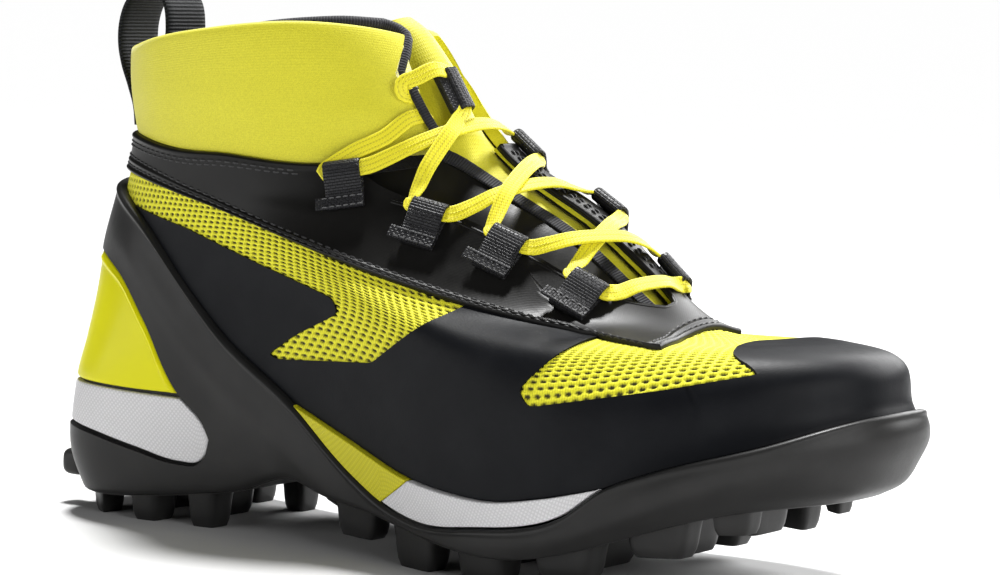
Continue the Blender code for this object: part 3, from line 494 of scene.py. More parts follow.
def pad_faces(count: int, wide: int) -> list:
    """Faces of two equal grids of points, one after the other, closed round their rim.

    Args:
        count: rows of points in a grid.
        wide: points in a row.

    Returns:
        Indices of each face.
    """
    size = count * wide
    faces = grid_faces(count, wide).tolist() + grid_faces(count, wide, False, size).tolist()
    rim = list(range(wide)) + [r * wide + wide - 1 for r in range(1, count)]
    rim += [size - 1 - c for c in range(1, wide)] + [r * wide for r in range(count - 2, 0, -1)]
    return faces + [(a, b, size + b, size + a) for a, b in zip(rim, rim[1:] + rim[:1])]


def flat_map(across: Array, up: Array) -> Array:
    """Flat coordinates in metres for a grid of points, from millimetre runs across it and up it."""
    return np.stack(np.meshgrid(across, up), -1).reshape(-1, 2) * MM


def sleeve_faces(count: int, columns: int) -> list:
    """Faces of a grid of points whose last row joins its first, closed at both ends.

    Args:
        count: rows of points.
        columns: points in a row.

    Returns:
        Indices of each face.
    """
    last = (count - 1) * columns
    faces = grid_faces(count, columns).tolist()
    faces += [(k, k + 1, last + k + 1, last + k) for k in range(columns - 1)]
    return faces + [[r * columns + k for r in range(count)] for k in (0, columns - 1)]


def deselect() -> None:
    """Clear the selection."""
    for chosen in list(bpy.context.selected_objects):
        chosen.select_set(False)


def choose(piece: Piece) -> None:
    """Make a piece the only selected one and the active one."""
    deselect()
    piece.select_set(True)
    bpy.context.view_layer.objects.active = piece


def mesh_piece(name: str, points: Array, faces: Sequence[Sequence[int]], uv: Optional[Array] = None,
               closed: bool = True) -> Piece:
    """A piece from points in the shoe's frame.

    Args:
        name: the piece's name.
        points: millimetre points.
        faces: indices of each face.
        uv: flat coordinates for each point, in metres.
        closed: whether the mesh encloses a body, so that its faces can be turned outward.

    Returns:
        The new object, at the origin.
    """
    mesh = bpy.data.meshes.new(name)
    mesh.from_pydata(((np.asarray(points) - ORIGIN) * MM).tolist(), [], [list(map(int, f)) for f in faces])
    if uv is not None:
        layer = mesh.uv_layers.new(name="UVMap")
        index = np.zeros(len(mesh.loops), np.int32)
        mesh.loops.foreach_get("vertex_index", index)
        layer.data.foreach_set("uv", np.asarray(uv, np.float32)[index].ravel())
    if closed:
        bm = bmesh.new()
        bm.from_mesh(mesh)
        bmesh.ops.recalc_face_normals(bm, faces=bm.faces)
        bm.to_mesh(mesh)
        bm.free()
    mesh.update()
    piece = bpy.data.objects.new(name, mesh)
    bpy.context.scene.collection.objects.link(piece)
    return piece


def shade(piece: Piece, angle: float = SMOOTH_ANGLE) -> Piece:
    """Smooth a piece, keeping its sharp edges."""
    choose(piece)
    bpy.ops.object.shade_smooth_by_angle(angle=angle)
    return piece


def joined(name: str, pieces: Sequence[Piece]) -> Piece:
    """Several pieces made one.

    Args:
        name: name of the joined piece.
        pieces: two pieces or more.

    Returns:
        The joined piece.
    """
    choose(pieces[0])
    for piece in pieces[1:]:
        piece.select_set(True)
    bpy.ops.object.join()
    pieces[0].name = name
    pieces[0].data.name = name
    return pieces[0]


def prism(outline: Array, axis: str, low: float, high: float) -> Piece:
    """A cutter: a flat outline drawn out.

    Args:
        outline: flat points, as x and z for axis y, or x and y for axis z.
        axis: the axis it is drawn along.
        low: where it starts.
        high: where it ends.

    Returns:
        The cutter.
    """
    ends = []
    for at in (low, high):
        flat = np.full(len(outline), at)
        order = (outline[:, 0], flat, outline[:, 1]) if axis == "y" else (outline[:, 0], outline[:, 1], flat)
        ends.append(np.stack(order, -1))
    count = len(outline)
    faces = [list(range(count)), list(range(count, 2 * count))]
    faces += [(k, (k + 1) % count, count + (k + 1) % count, count + k) for k in range(count)]
    return mesh_piece("cutter", np.concatenate(ends), faces)


def cut(target: Piece, cutter: Piece, operation: str = "DIFFERENCE") -> Piece:
    """Apply a Boolean and remove its cutter.

    Args:
        target: piece that is cut.
        cutter: closed mesh that cuts it.
        operation: the Boolean's name.

    Returns:
        The cut piece.
    """
    step = target.modifiers.new("cut", "BOOLEAN")
    step.operation = operation
    step.solver = "MANIFOLD"
    step.object = cutter
    choose(target)
    bpy.ops.object.modifier_apply(modifier=step.name)
    bpy.data.objects.remove(cutter, do_unlink=True)
    return target


def slot_outline(rows: Sequence[Sequence[float]], grow: float = 0.0) -> Array:
    """Plan outline of a slot about its middle line, drawn out by `grow`.

    Args:
        rows: x and y of the slot's middle and its half width, along it.
        grow: how much wider it is drawn on each side.

    Returns:
        The outline's points.
    """
    middle = smooth_line(rows, 2.0)
    left = [(x, y - half - grow) for x, y, half in middle]
    right = [(x, y + half + grow) for x, y, half in middle[::-1]]
    return np.array(left + right)


def open_throat(layer: Piece, grow: float = 0.0) -> Piece:
    """Cut the throat's slot, drawn out by `grow`, from a layer."""
    return shade(cut(layer, prism(slot_outline(THROAT, grow), *PLAN_CUT)))


class Pattern(Enum):
    """The fine structure of a finish."""
    GRAIN = auto()
    LEATHER = auto()
    KNIT = auto()
    MESH = auto()
    HATCH = auto()
    WEAVE = auto()
    RIB = auto()
    BRAID = auto()
    PLAIN = auto()


@dataclass(frozen=True)
class Finish:
    """A surface: colours, gloss and fine structure.

    Attributes:
        slot: name of a material slot; not used.
        colour: main colour.
        mottle_and_shade: second colour, mixed in as random mottling on some patterns, and as painted shade in
            hollows, in grooves and between threads on others.
        roughness: middle roughness.
        pattern: fine structure.
        pitch: size of the structure in millimetres.
        relief: depth of the structure in millimetres.
        coat: share of clear coat.
        sheen: share of cloth sheen.
        specular: strength of the plain reflection.
    """
    slot: str
    colour: tuple
    mottle_and_shade: tuple
    roughness: float
    pattern: Pattern
    pitch: float = 1.0
    relief: float = 0.1
    coat: float = 0.0
    sheen: float = 0.0
    specular: float = 0.5

    def material(self, name: str) -> bpy.types.Material:
        """The finish as a node material for one piece.

        Args:
            name: the material's name.

        Returns:
            The new material.
        """
        made = bpy.data.materials.new(name)
        made.use_nodes = True
        Weaver(made, self).weave()
        return made


class Weaver:
    """Lays a finish's nodes into a material."""

    def __init__(self, material: bpy.types.Material, finish: Finish) -> None:
        """Keep the tree, and set what is the same all over the surface.

        Args:
            material: a new node material.
            finish: what it has to show.
        """
        self.finish = finish
        self.nodes = material.node_tree.nodes
        self.links = material.node_tree.links
        self.shader = self.nodes["Principled BSDF"]
        for name, value in (("Coat Weight", finish.coat), ("Coat Roughness", 0.12),
                            ("Sheen Weight", finish.sheen), ("Sheen Roughness", 0.4),
                            ("Specular IOR Level", finish.specular)):
            self.shader.inputs[name].default_value = value

    def node(self, kind: str, **inputs: object) -> bpy.types.Node:
        """A node with some of its inputs set or linked.

        Args:
            kind: the node's type name without its prefix.
            inputs: input names, with _ for a space, or i and the input's number, each with its value or
                the socket that it is linked to.

        Returns:
            The new node.
        """
        made = self.nodes.new(f"ShaderNode{kind}")
        for name, value in inputs.items():
            numbered = name[0] == "i" and name[1:].isdigit()
            socket = made.inputs[int(name[1:]) if numbered else name.replace("_", " ")]
            if isinstance(value, Socket):
                self.links.new(value, socket)
            else:
                socket.default_value = value
        return made

    def math(self, operation: str, first: object, second: object = 0.0) -> Socket:
        """A sum, product or the like of two values."""
        made = self.node("Math", i0=first, i1=second)
        made.operation = operation
        return made.outputs[0]

    def noise(self, vector: Socket, scale: float, detail: float = 3.0) -> Socket:
        """Noise from 0 to 1."""
        return self.node("TexNoise", Vector=vector, Scale=scale, Detail=detail).outputs["Fac"]

    def bands(self, vector: Socket, direction: str, pitch: float, turn: float = 0.0,
              distort: float = 0.0) -> Socket:
        """Soft bands from 0 to 1.

        Args:
            vector: coordinates in metres.
            direction: axis across the bands.
            pitch: distance between bands, in millimetres.
            turn: angle of the bands in degrees.
            distort: how far the bands wander.

        Returns:
            The bands' height.
        """
        turned = self.node("Mapping", Vector=vector, Rotation=(0, 0, math.radians(turn))).outputs[0]
        wave = self.node("TexWave", Vector=turned, Scale=WAVE / pitch, Distortion=distort)
        wave.bands_direction = direction
        wave.wave_profile = "SIN"
        return wave.outputs["Fac"]

    def ramp(self, value: Socket, low: float, high: float, start: float = 0.0,
             end: float = 1.0) -> Socket:
        """A value's range low to high mapped smoothly to start to end."""
        made = self.node("MapRange", Value=value, From_Min=low, From_Max=high, To_Min=start, To_Max=end)
        made.interpolation_type = "SMOOTHSTEP"
        return made.outputs[0]

    def structure(self) -> tuple:
        """Height of the fine structure, and the share of the second colour: random mottling, and painted
        shade in grooves.

        Returns:
            Two sockets, both from 0 to 1.
        """
        finish = self.finish
        place = self.node("TexCoord")
        solid, flat = place.outputs["Object"], place.outputs["UV"]
        fine = self.noise(solid, 1000 / finish.pitch, 4.0)
        if finish.pattern is Pattern.GRAIN:
            height = self.math("ADD", fine, self.noise(solid, 300.0))
            return height, self.ramp(self.noise(solid, 60.0), 0.35, 0.75, 0.0, 0.6)
        if finish.pattern is Pattern.LEATHER:
            lines = self.bands(flat, "X", finish.pitch, 40.0, 1.5)
            height = self.math("ADD", self.math("MULTIPLY", lines, 0.35), fine)
            return height, self.ramp(self.noise(solid, 90.0), 0.3, 0.8, 0.0, 0.7)
        if finish.pattern is Pattern.KNIT:
            ribs = self.bands(flat, "X", finish.pitch, 0.0, 1.0)
            rows = self.bands(flat, "Y", finish.pitch * 1.4, 0.0, 1.0)
            height = self.math("ADD", self.math("MULTIPLY", ribs, rows), fine)
            glint = self.noise(solid, 2600.0, 2.0)
            return height, self.ramp(glint, 0.72, 0.25)
        if finish.pattern is Pattern.MESH:
            hollow = self.node("Attribute")
            hollow.attribute_name = "hollow"
            threads = self.bands(flat, "X", finish.pitch, 28.0, 2.0)
            height = self.math("ADD", self.math("MULTIPLY", threads, 0.6), fine)
            # Painted shade in the sunk slots and between threads; in the slots it also stands for the black
            # lining.
            shade_share = self.math("ADD", hollow.outputs["Fac"], self.ramp(height, 0.9, 0.3, 0.0, 0.25))
            return height, shade_share
        if finish.pattern is Pattern.HATCH:
            lines = self.math("MULTIPLY", self.bands(flat, "X", finish.pitch, 38.0),
                              self.bands(flat, "X", finish.pitch, -52.0))
            # Painted shade: the hatch's grooves take the darker second colour.
            return lines, self.ramp(lines, 0.5, 0.0, 0.0, 0.8)
        if finish.pattern is Pattern.WEAVE:
            brick = self.node("TexBrick", Vector=flat, Color1=(1, 1, 1, 1), Color2=(0.8, 0.8, 0.8, 1),
                              Mortar=(0, 0, 0, 1), Scale=1000 / finish.pitch, Mortar_Size=0.12,
                              Mortar_Smooth=1.0, Brick_Width=1.0, Row_Height=0.62)
            height = self.math("ADD", brick.outputs["Color"], self.math("MULTIPLY", fine, 0.5))
            # Painted shade: the gaps between the woven threads take the dark second colour.
            return height, self.ramp(height, 0.9, 0.2)
        if finish.pattern is Pattern.RIB:
            ribs = self.bands(flat, "Y", finish.pitch, 0.0, 0.3)
            height = self.math("ADD", ribs, self.math("MULTIPLY", fine, 0.5))
            # Painted shade: the grooves between the ribs take the dark second colour.
            return height, self.ramp(height, 0.8, 0.2)
        if finish.pattern is Pattern.BRAID:
            ribs = self.bands(flat, "X", 1.55)
            dots = self.bands(flat, "Y", finish.pitch)
            weave = self.math("MULTIPLY", self.bands(flat, "X", 0.62, 30.0), 0.5)
            height = self.math("ADD", ribs, self.math("ADD", weave, self.math("MULTIPLY", dots, 0.4)))
            # Painted shade: the grooves between the ribs, broken by the dots, and the weave's gaps take the
            # darker second colour.
            painted_groove_shade = self.math("MULTIPLY", self.ramp(ribs, 0.35, 0.0), self.ramp(dots, 0.7, 0.2, 0.35, 1.0))
            return height, self.math("ADD", painted_groove_shade, self.ramp(weave, 0.3, 0.0, 0.0, 0.2))
        return fine, self.ramp(self.noise(solid, 40.0), 0.3, 0.8, 0.0, 0.4)

    def weave(self) -> None:
        """Link colour, roughness and bump to the shader."""
        finish = self.finish
        # The share mixes in the second colour: random mottling on some patterns, painted shade in grooves,
        # gaps and hollows on others.
        height, share = self.structure()
        mix = self.node("Mix")
        mix.data_type = "RGBA"
        self.links.new(share, mix.inputs[0])
        mix.inputs[6].default_value = (*finish.colour, 1.0)
        mix.inputs[7].default_value = (*finish.mottle_and_shade, 1.0)
        self.links.new(mix.outputs[2], self.shader.inputs["Base Color"])
        rough = self.ramp(height, 0.0, 1.4, finish.roughness + 0.06, finish.roughness - 0.06)
        self.links.new(rough, self.shader.inputs["Roughness"])
        bump = self.node("Bump", Height=height, Strength=1.0, Distance=finish.relief * MM)
        self.links.new(bump.outputs["Normal"], self.shader.inputs["Normal"])


# Second colours: random mottling for GRAIN, LEATHER, KNIT and PLAIN; painted shade in grooves, gaps and
# hollows for MESH, HATCH, WEAVE, RIB and BRAID.
RUBBER = Finish("black_rubber", (0.0165, 0.0163, 0.016), (0.024, 0.0235, 0.023), 0.42,
                Pattern.GRAIN, 0.8, 0.02, specular=0.18)
GREY_FOAM = Finish("grey_foam", (0.68, 0.675, 0.685), (0.52, 0.515, 0.525), 0.6,
                   Pattern.HATCH, 1.1, 0.10)
YELLOW_FOAM = Finish("yellow_foam", (0.62, 0.57, 0.006), (0.49, 0.45, 0.005), 0.55,
                     Pattern.HATCH, 1.1, 0.10)
CLIP_GLOSS = Finish("yellow_moulding", (0.70, 0.67, 0.001), (0.64, 0.61, 0.001), 0.34,
                    Pattern.PLAIN, 3.0, 0.01, coat=0.06, specular=0.16)
LINING = Finish("black_fabric", (0.014, 0.014, 0.015), (0.006, 0.006, 0.007), 0.9,
                Pattern.KNIT, 0.9, 0.10, sheen=0.1, specular=0.2)
KNIT_MESH = Finish("yellow_mesh", (0.80, 0.765, 0.014), (0.030, 0.028, 0.002), 0.75,
                   Pattern.MESH, 0.7, 0.10, sheen=0.2)
FILM = Finish("black_film", (0.0046, 0.0051, 0.0065), (0.0085, 0.0091, 0.0108), 0.48,
              Pattern.GRAIN, 0.6, 0.03, specular=0.09)
SHEET = Finish("black_sheet", (0.0060, 0.0058, 0.0054), (0.0095, 0.0092, 0.0087), 0.38,
               Pattern.LEATHER, 0.7, 0.015, specular=0.16)
STRETCH = Finish("yellow_stretch", (0.68, 0.635, 0.022), (0.56, 0.52, 0.012), 0.62,
                 Pattern.KNIT, 0.6, 0.05, sheen=0.3)
BINDING = Finish("black_binding", (0.016, 0.016, 0.020), (0.006, 0.006, 0.008), 0.7,
                 Pattern.RIB, 0.9, 0.12, sheen=0.15, specular=0.25)
SMOOTH = Finish("yellow_stretch", (0.0080, 0.0077, 0.0072), (0.013, 0.0125, 0.0118), 0.36,
                Pattern.GRAIN, 0.5, 0.02, specular=0.3)
WEBBING = Finish("black_webbing", (0.016, 0.016, 0.018), (0.0018, 0.0018, 0.002), 0.45,
                 Pattern.WEAVE, 1.5, 0.4, specular=0.3)
PULL_WEB = Finish("black_webbing", (0.011, 0.0125, 0.0135), (0.003, 0.003, 0.0035), 0.6,
                  Pattern.RIB, 1.2, 0.2, specular=0.15)
LACE = Finish("yellow_lace", (0.82, 0.74, 0.012), (0.52, 0.44, 0.008), 0.6,
              Pattern.BRAID, 1.0, 0.10, sheen=0.2)
THREAD = Finish("black_sheet", (0.034, 0.034, 0.035), (0.016, 0.016, 0.016), 0.5,
                Pattern.PLAIN, 0.4, 0.03, specular=0.4)
GREY_THREAD = Finish("black_webbing", (0.10, 0.10, 0.102), (0.05, 0.05, 0.052), 0.5,
                     Pattern.PLAIN, 0.4, 0.03)


def show(piece: Piece, finish: Finish, *nodes: str) -> Piece:
    """Give a piece its finish and body, and hide the solids that it stands for.

    Args:
        piece: the finished mesh.
        finish: its surface.
        nodes: names of the solids that it replaces.

    Returns:
        The piece.
    """
    piece.data.materials.clear()
    piece.data.materials.append(finish.material(f"{piece.name} finish"))
    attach(piece, BODY)
    if nodes:
        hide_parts(*nodes)
    LOG.info("%s: %d faces", piece.name, len(piece.data.polygons))
    return piece


def paint(piece: Piece, finish: Finish, chosen: Array) -> None:
    """Give some faces of a shown piece a second finish."""
    piece.data.materials.append(finish.material(f"{piece.name} second finish"))
    piece.data.polygons.foreach_set("material_index", np.asarray(chosen, np.int32))


def tag(piece: Piece, name: str, values: Array) -> None:
    """Store a number for each point of a piece."""
    made = piece.data.attributes.new(name, "FLOAT", "POINT")
    made.data.foreach_set("value", np.asarray(values, np.float32))


@dataclass(frozen=True)
class Edge:
    """The form of a wall's edge.

    Attributes:
        radius: rounding of the edge.
        ridges: raised beads, as distance from the edge, half width and height.
        reach: how far from the edge the rows of points stay close.
        close: distance between those rows.
    """
    radius: float = 0.4
    ridges: tuple = ()
    reach: float = 0.0
    close: float = 0.35

    def rows(self) -> Array:
        """Distances from the edge of the close rows.

        Returns:
            Rising distances, the first one 0.
        """
        turn = self.radius * (1 - np.cos(np.linspace(0, np.pi / 2, 5)))
        if self.reach <= self.radius:
            return turn
        return np.concatenate([turn, np.arange(self.radius + self.close, self.reach, self.close)])

    def rise(self, run: Array) -> Array:
        """Height of the surface over its plain face, at distances from the edge.

        Args:
            run: distances from the edge.

        Returns:
            One height for each distance.
        """
        near = np.clip(self.radius - run, 0, self.radius)
        rise = np.sqrt(np.maximum(self.radius**2 - near**2, 0)) - self.radius
        for place, half, height in self.ridges:
            rise = rise + height * np.exp(-((run - place) / half) ** 2)
        return rise


@dataclass(frozen=True)
class Wall:
    """A layer of the shoe between two lines on the form.

    Attributes:
        u: places along the rings.
        low: level of the lower line at each place.
        high: level of the upper line at each place.
        inner: distance of the inner face from the form.
        outer: distance of the outer face.
        foot: form of the lower edge.
        head: form of the upper edge.
        rows: rows of points between the edges.
        closed: whether the wall runs right round.
        swell: extra height of the outer face, from its points and their share of the wall's height.
    """
    u: Array
    low: Array
    high: Array
    inner: float
    outer: float
    foot: Edge = Edge()
    head: Edge = Edge()
    rows: int = 24
    closed: bool = True
    swell: Optional[Callable[[Array, Array], Array]] = None

    def runs(self) -> Array:
        """Distances of the rows from the lower line, a column for each place.

        Returns:
            One row for each row of points.
        """
        span = LAST.spans(self.u, self.low, self.high)
        foot, head = self.foot.rows(), self.head.rows()
        fit = np.minimum(1.0, 0.48 * span / max(foot[-1], head[-1], 1e-6))
        low = foot[:, None] * fit
        high = span - head[::-1, None] * fit
        share = np.linspace(0, 1, self.rows + 2)[1:-1, None]
        middle = low[-1] + (high[0] - low[-1]) * share
        return np.vstack([low, middle, high])

    def build(self, name: str) -> Piece:
        """The wall as a closed mesh with flat coordinates along it.

        Args:
            name: the piece's name.

        Returns:
            The wall.
        """
        run = self.runs()
        levels = LAST.level_at_run(self.u, self.low, self.high, run)
        span = run[-1]
        out = self.outer + self.foot.rise(run) + self.head.rise(span - run)
        if self.swell is not None:
            out = out + self.swell(LAST.surface(self.u[None, :], levels), run / np.maximum(span, 1e-6))
        out = np.maximum(out, self.inner + 0.1)
        outer = LAST.skin(self.u[None, :], levels, out)
        back = levels[:: max(1, len(levels) // 14)]
        if not np.array_equal(back[-1], levels[-1]):
            back = np.vstack([back, levels[-1:]])
        inner = LAST.skin(self.u[None, :], back, self.inner)
        along = LAST.ring_run(self.u, float(np.mean((self.low + self.high) / 2)))
        flat = [np.stack(np.broadcast_arrays(along[None, :], rows), -1)
                for rows in (run, np.zeros(back.shape))]
        return self.enclose(name, outer, inner, flat)

    def enclose(self, name: str, outer: Array, inner: Array, flat: Sequence[Array]) -> Piece:
        """A closed mesh from the two faces of the wall.

        Args:
            name: the piece's name.
            outer: grid of points of the outer face.
            inner: grid of points of the inner face.
            flat: flat coordinates of the two grids.

        Returns:
            The wall.
        """
        count, across = len(outer), outer.shape[1]
        start = count * across
        last = start + (len(inner) - 1) * across
        faces = grid_faces(count, across, self.closed).tolist()
        faces += grid_faces(len(inner), across, self.closed, start).tolist()
        for row, other in ((0, start), ((count - 1) * across, last)):
            for k in range(across if self.closed else across - 1):
                nxt = (k + 1) % across
                faces.append((row + k, row + nxt, other + nxt, other + k))
        if not self.closed:
            for k in (0, across - 1):
                ring = [r * across + k for r in range(count)]
                ring += [start + r * across + k for r in range(len(inner))][::-1]
                faces.append(ring)
        points = np.concatenate([outer.reshape(-1, 3), inner.reshape(-1, 3)])
        uv = np.concatenate([f.reshape(-1, 2) for f in flat]) * MM
        return shade(mesh_piece(name, points, faces, uv))

    def rail(self, run: float, out: float) -> Pair:
        """Points and normals of a line at a distance from the lower edge, or from the upper if negative.

        Args:
            run: distance from the edge.
            out: distance from the form.

        Returns:
            Points and normals, one of each for each place.
        """
        span = LAST.spans(self.u, self.low, self.high)
        rows = np.full((1, len(self.u)), run) if run >= 0 else span[None, :] + run
        level = LAST.level_at_run(self.u, self.low, self.high, rows)[0]
        return LAST.skin(self.u, level, out), LAST.outward(self.u, level)


def even(points: Array, normals: Array, spacing: float) -> Pair:
    """A path and its normals read again at even distances.

    Args:
        points: points of the path.
        normals: its outward directions.
        spacing: distance between the new points.

    Returns:
        The new points and directions.
    """
    run = run_along(points)
    at = np.linspace(0, run[-1], max(2, int(round(run[-1] / spacing)) + 1))
    place = np.stack([np.interp(at, run, points[:, c]) for c in range(3)], -1)
    way = np.stack([np.interp(at, run, normals[:, c]) for c in range(3)], -1)
    return place, unit(way)


def strap(name: str, path: Array, normals: Array, section: Array) -> Piece:
    """A strip with a given section along a path.

    Args:
        name: the piece's name.
        path: points along its middle.
        normals: its outward direction at each point.
        section: closed outline of the section, as across and out.

    Returns:
        The strip, with flat coordinates across and along it.
    """
    path = np.asarray(path, float)
    runs = unit(np.gradient(path, axis=0))
    wide = unit(np.cross(np.asarray(normals, float), runs))
    out = np.cross(runs, wide)
    rings = path[:, None] + wide[:, None] * section[None, :, :1] + out[:, None] * section[None, :, 1:]
    count, sides = len(path), len(section)
    faces = grid_faces(count, sides, wrap=True).tolist()
    faces += [list(range(sides))[::-1], [(count - 1) * sides + k for k in range(sides)]]
    uv = flat_map(section[:, 0], run_along(path))
    return shade(mesh_piece(name, rings.reshape(-1, 3), faces, uv))


def flat_section(width: float, thick: float, ridge: float = 0.0, steps: int = 4) -> Array:
    """Section of a woven strip with round edges, and with ridges along it if asked.

    Args:
        width: full width.
        thick: thickness.
        ridge: height of the ridges.
        steps: faces on each round edge.

    Returns:
        Closed outline, as across and out.
    """
    turn = np.linspace(-np.pi / 2, np.pi / 2, steps + 1)
    half = width / 2 - thick / 2
    right = np.stack([half + thick / 2 * np.cos(turn), thick / 2 * np.sin(turn)], -1)
    across = np.linspace(half, -half, 9)[1:-1]
    lift = thick / 2 + ridge * np.cos(3 * np.pi * across / half)
    top = np.stack([across, lift], -1)
    left = right[::-1] * (-1, 1)
    bottom = np.stack([across[::-1], np.full(len(across), -thick / 2)], -1)
    return np.concatenate([right, top, left, bottom])


def round_section(radius: float, sides: int = 10) -> Array:
    """Section of a cord."""
    turn = np.arange(sides) * 2 * np.pi / sides
    return np.stack([radius * np.cos(turn), radius * np.sin(turn)], -1)


def stitch_row(name: str, path: Array, normals: Array, length: float = 2.3, gap: float = 0.9,
               radius: float = 0.32) -> Piece:
    """A row of stitches lying on a path.

    Args:
        name: the piece's name.
        path: points on the cloth.
        normals: the cloth's outward direction there.
        length: length of a stitch.
        gap: space between two stitches.
        radius: thread's radius.

    Returns:
        The stitches as one mesh.
    """
    place, way = even(path, normals, (length + gap) / 4)
    points, faces = [], []
    sides = 6
    heights = (-0.9, 0.25, 0.55, 0.25, -0.9)
    swell = (0.7, 1.0, 1.0, 1.0, 0.7)
    for start in range(0, len(place) - 4, 4):
        ends = place[start], place[start + 3]
        middle, run = (ends[0] + ends[1]) / 2, unit(ends[1] - ends[0])
        out = way[start + 1]
        wide = unit(np.cross(out, run))
        base = len(points)
        for share, height, thick in zip(np.linspace(-0.5, 0.5, 5), heights, swell):
            for k in range(sides):
                turn = 2 * np.pi * k / sides
                points.append(middle + run * share * length + out * radius * (height + thick * math.sin(turn))
                              + wide * radius * thick * math.cos(turn))
        faces += grid_faces(5, sides, True, base).tolist()
        faces += [[base + k for k in range(sides)][::-1], [base + 4 * sides + k for k in range(sides)]]
    return shade(mesh_piece(name, np.array(points), faces))


@dataclass
class Sole:
    """Rubber outsole with its lugs, the foams that show in its windows, and the heel clip.

    Attributes:
        edge_lugs: middle x, tip height, length and width of the lugs along both edges.
        middle_lugs: middle x and y, tip height, length and width of the lugs between them.
        end_blocks: middle and size of the rounded blocks at the back of the heel.
    """
    rubber: tuple = (0.3, 3.2)
    foam_face: float = 2.7
    clip: tuple = (0.4, 2.7)
    tread_level: float = 0.45
    lip: Edge = Edge(1.1, ((1.3, 0.8, 0.45),), 4.0, 0.4)
    tread_corner: Edge = Edge(2.6)
    edge_lugs: tuple = ((14, 0, 12, 14), (37, 0, 12, 14), (59, 0, 12, 13), (126, 5.5, 22, 13),
                        (154, 0, 22, 14), (183, 0, 22, 15), (212, 5, 21, 15), (239, 13.5, 18, 14),
                        (257, 21, 10, 12))
    # The long block at x 99 stands for the inner arch wall, and reaches near the floor as painted shadow.
    middle_lugs: tuple = ((25, 0, 0, 10, 20), (47, -1, 0, 10, 20), (99, 19, 4.5, 62, 20),
                          (140, -3, 2.5, 10, 22), (169, -3, 0, 10, 28), (198, -2, 2, 10, 30),
                          (226, 1, 9, 10, 30), (249, 4, 17.5, 9, 26))
    end_blocks: tuple = ((-5.0, -18.5, 13.5, 9.6, 9, 9), (-5.0, 18.5, 13.5, 9.6, 9, 9))
    lug_tip: float = 0.74
    lug_root: float = 5.0
    lug_out: float = 1.7
    lug_squareness: float = 6.0
    block_squareness: float = 3.5
    lug_angle: float = math.radians(60)
    backing_end: float = 67.0
    foam_end: float = 65.0
    clip_end: float = 54.2
    arch_x: float = 95.0
    arch_lift: float = 0.55
    toe_swell: float = 3.0
    arm_swell: float = 1.4

    def build(self) -> None:
        """Model and dress all the sole's pieces."""
        show(self.outsole(), RUBBER, "outsole")
        show(self.heel_foam(), GREY_FOAM, "heel_midsole")
        show(self.forefoot_foam(), GREY_FOAM, "forefoot_midsole")
        for name, side in (("arch_wedge_lateral", -1), ("arch_wedge_medial", 1)):
            show(self.arch_wedge(f"{name}_foam", side), YELLOW_FOAM, name)
        show(self.heel_clip(), CLIP_GLOSS, "heel_clip")

    def outsole(self) -> Piece:
        """Rubber wall with its rolled lip and heel window, tread and lugs.

        Returns:
            The whole rubber.
        """
        u = np.arange(AROUND) / AROUND
        top = LAST.level_at_height(u, height_of(SOLE_EDGE))
        wall = Wall(u, self.arch(u), top, *self.rubber, foot=self.tread_corner, head=self.lip, rows=34,
                    swell=self.fullness)
        body = wall.build("outsole_wall")
        low, high = smooth_line(WINDOW_LOW), smooth_line(WINDOW_HIGH)
        cut(body, prism(np.concatenate([low, high[::-1][1:]]), *SIDE_CUT))
        shade(body)
        return joined("outsole_rubber", [body, self.tread(u), self.backing()] + self.lugs())

    def arch(self, u: Array) -> Array:
        """Level of the tread, lifted between the heel and the forefoot."""
        x = LAST.surface(u, 0.0)[:, 0]
        return self.arch_lift * np.exp(-((x - self.arch_x) / 14) ** 2)

    def fullness(self, points: Array, share: Array) -> Array:
        """Soft swelling of the rubber along the arm and under the toe bumper.

        Args:
            points: points of the wall.
            share: their share of the wall's height.

        Returns:
            One height for each point.
        """
        x, z = points[..., 0], points[..., 2]
        toe = np.clip((x - 250) / 35, 0, 1) ** 2 * np.exp(-((share - 0.3) / 0.25) ** 2)
        under = height_of(SOLE_EDGE)(points) - z
        arm = np.clip((x - 12) / 20, 0, 1) * np.clip((150 - x) / 45, 0, 1) * np.exp(-((under - 14) / 8) ** 2)
        return self.toe_swell * toe + self.arm_swell * arm

    def backing(self) -> Piece:
        """Dark rubber behind the foam and the clip, which shows as the gap round them.

        Returns:
            The backing.
        """
        limit = LAST.u_of_x(1.2, self.backing_end)
        u = np.linspace(-limit, limit, 121)
        low = LAST.level_at_height(u, height_of(WINDOW_LOW, -2.0), 0.0, 6.0)
        high = np.maximum(LAST.level_at_height(u, height_of(WINDOW_HIGH, 2.0), 0.0, 6.0), low + 0.1)
        return Wall(u, low, high, -0.5, 0.3, rows=20, closed=False).build("window_backing")

    def tread(self, u: Array) -> Piece:
        """The sole's underside and the floor over it.

        Args:
            u: places along the rings.

        Returns:
            Two sheets joined along both edges.
        """
        across = np.linspace(0, 1, 9)
        half = AROUND // 2
        rows = []
        for rise, out in ((0.0, 1.6), (self.tread_level, 1.6)):
            ring = LAST.skin(u, self.arch(u) + rise, out)
            near, far = ring[:half + 1], ring[(AROUND - np.arange(half + 1)) % AROUND]
            rows.append(near[:, None] + (far - near)[:, None] * across[None, :, None])
        count, wide = rows[0].shape[:2]
        size = count * wide
        faces = grid_faces(count, wide).tolist() + grid_faces(count, wide, False, size).tolist()
        for edge in (0, wide - 1):
            line = [k * wide + edge for k in range(count)]
            faces += [(a, b, size + b, size + a) for a, b in zip(line, line[1:])]
        points = np.concatenate([r.reshape(-1, 3) for r in rows])
        return shade(mesh_piece("tread", points, faces, closed=False))

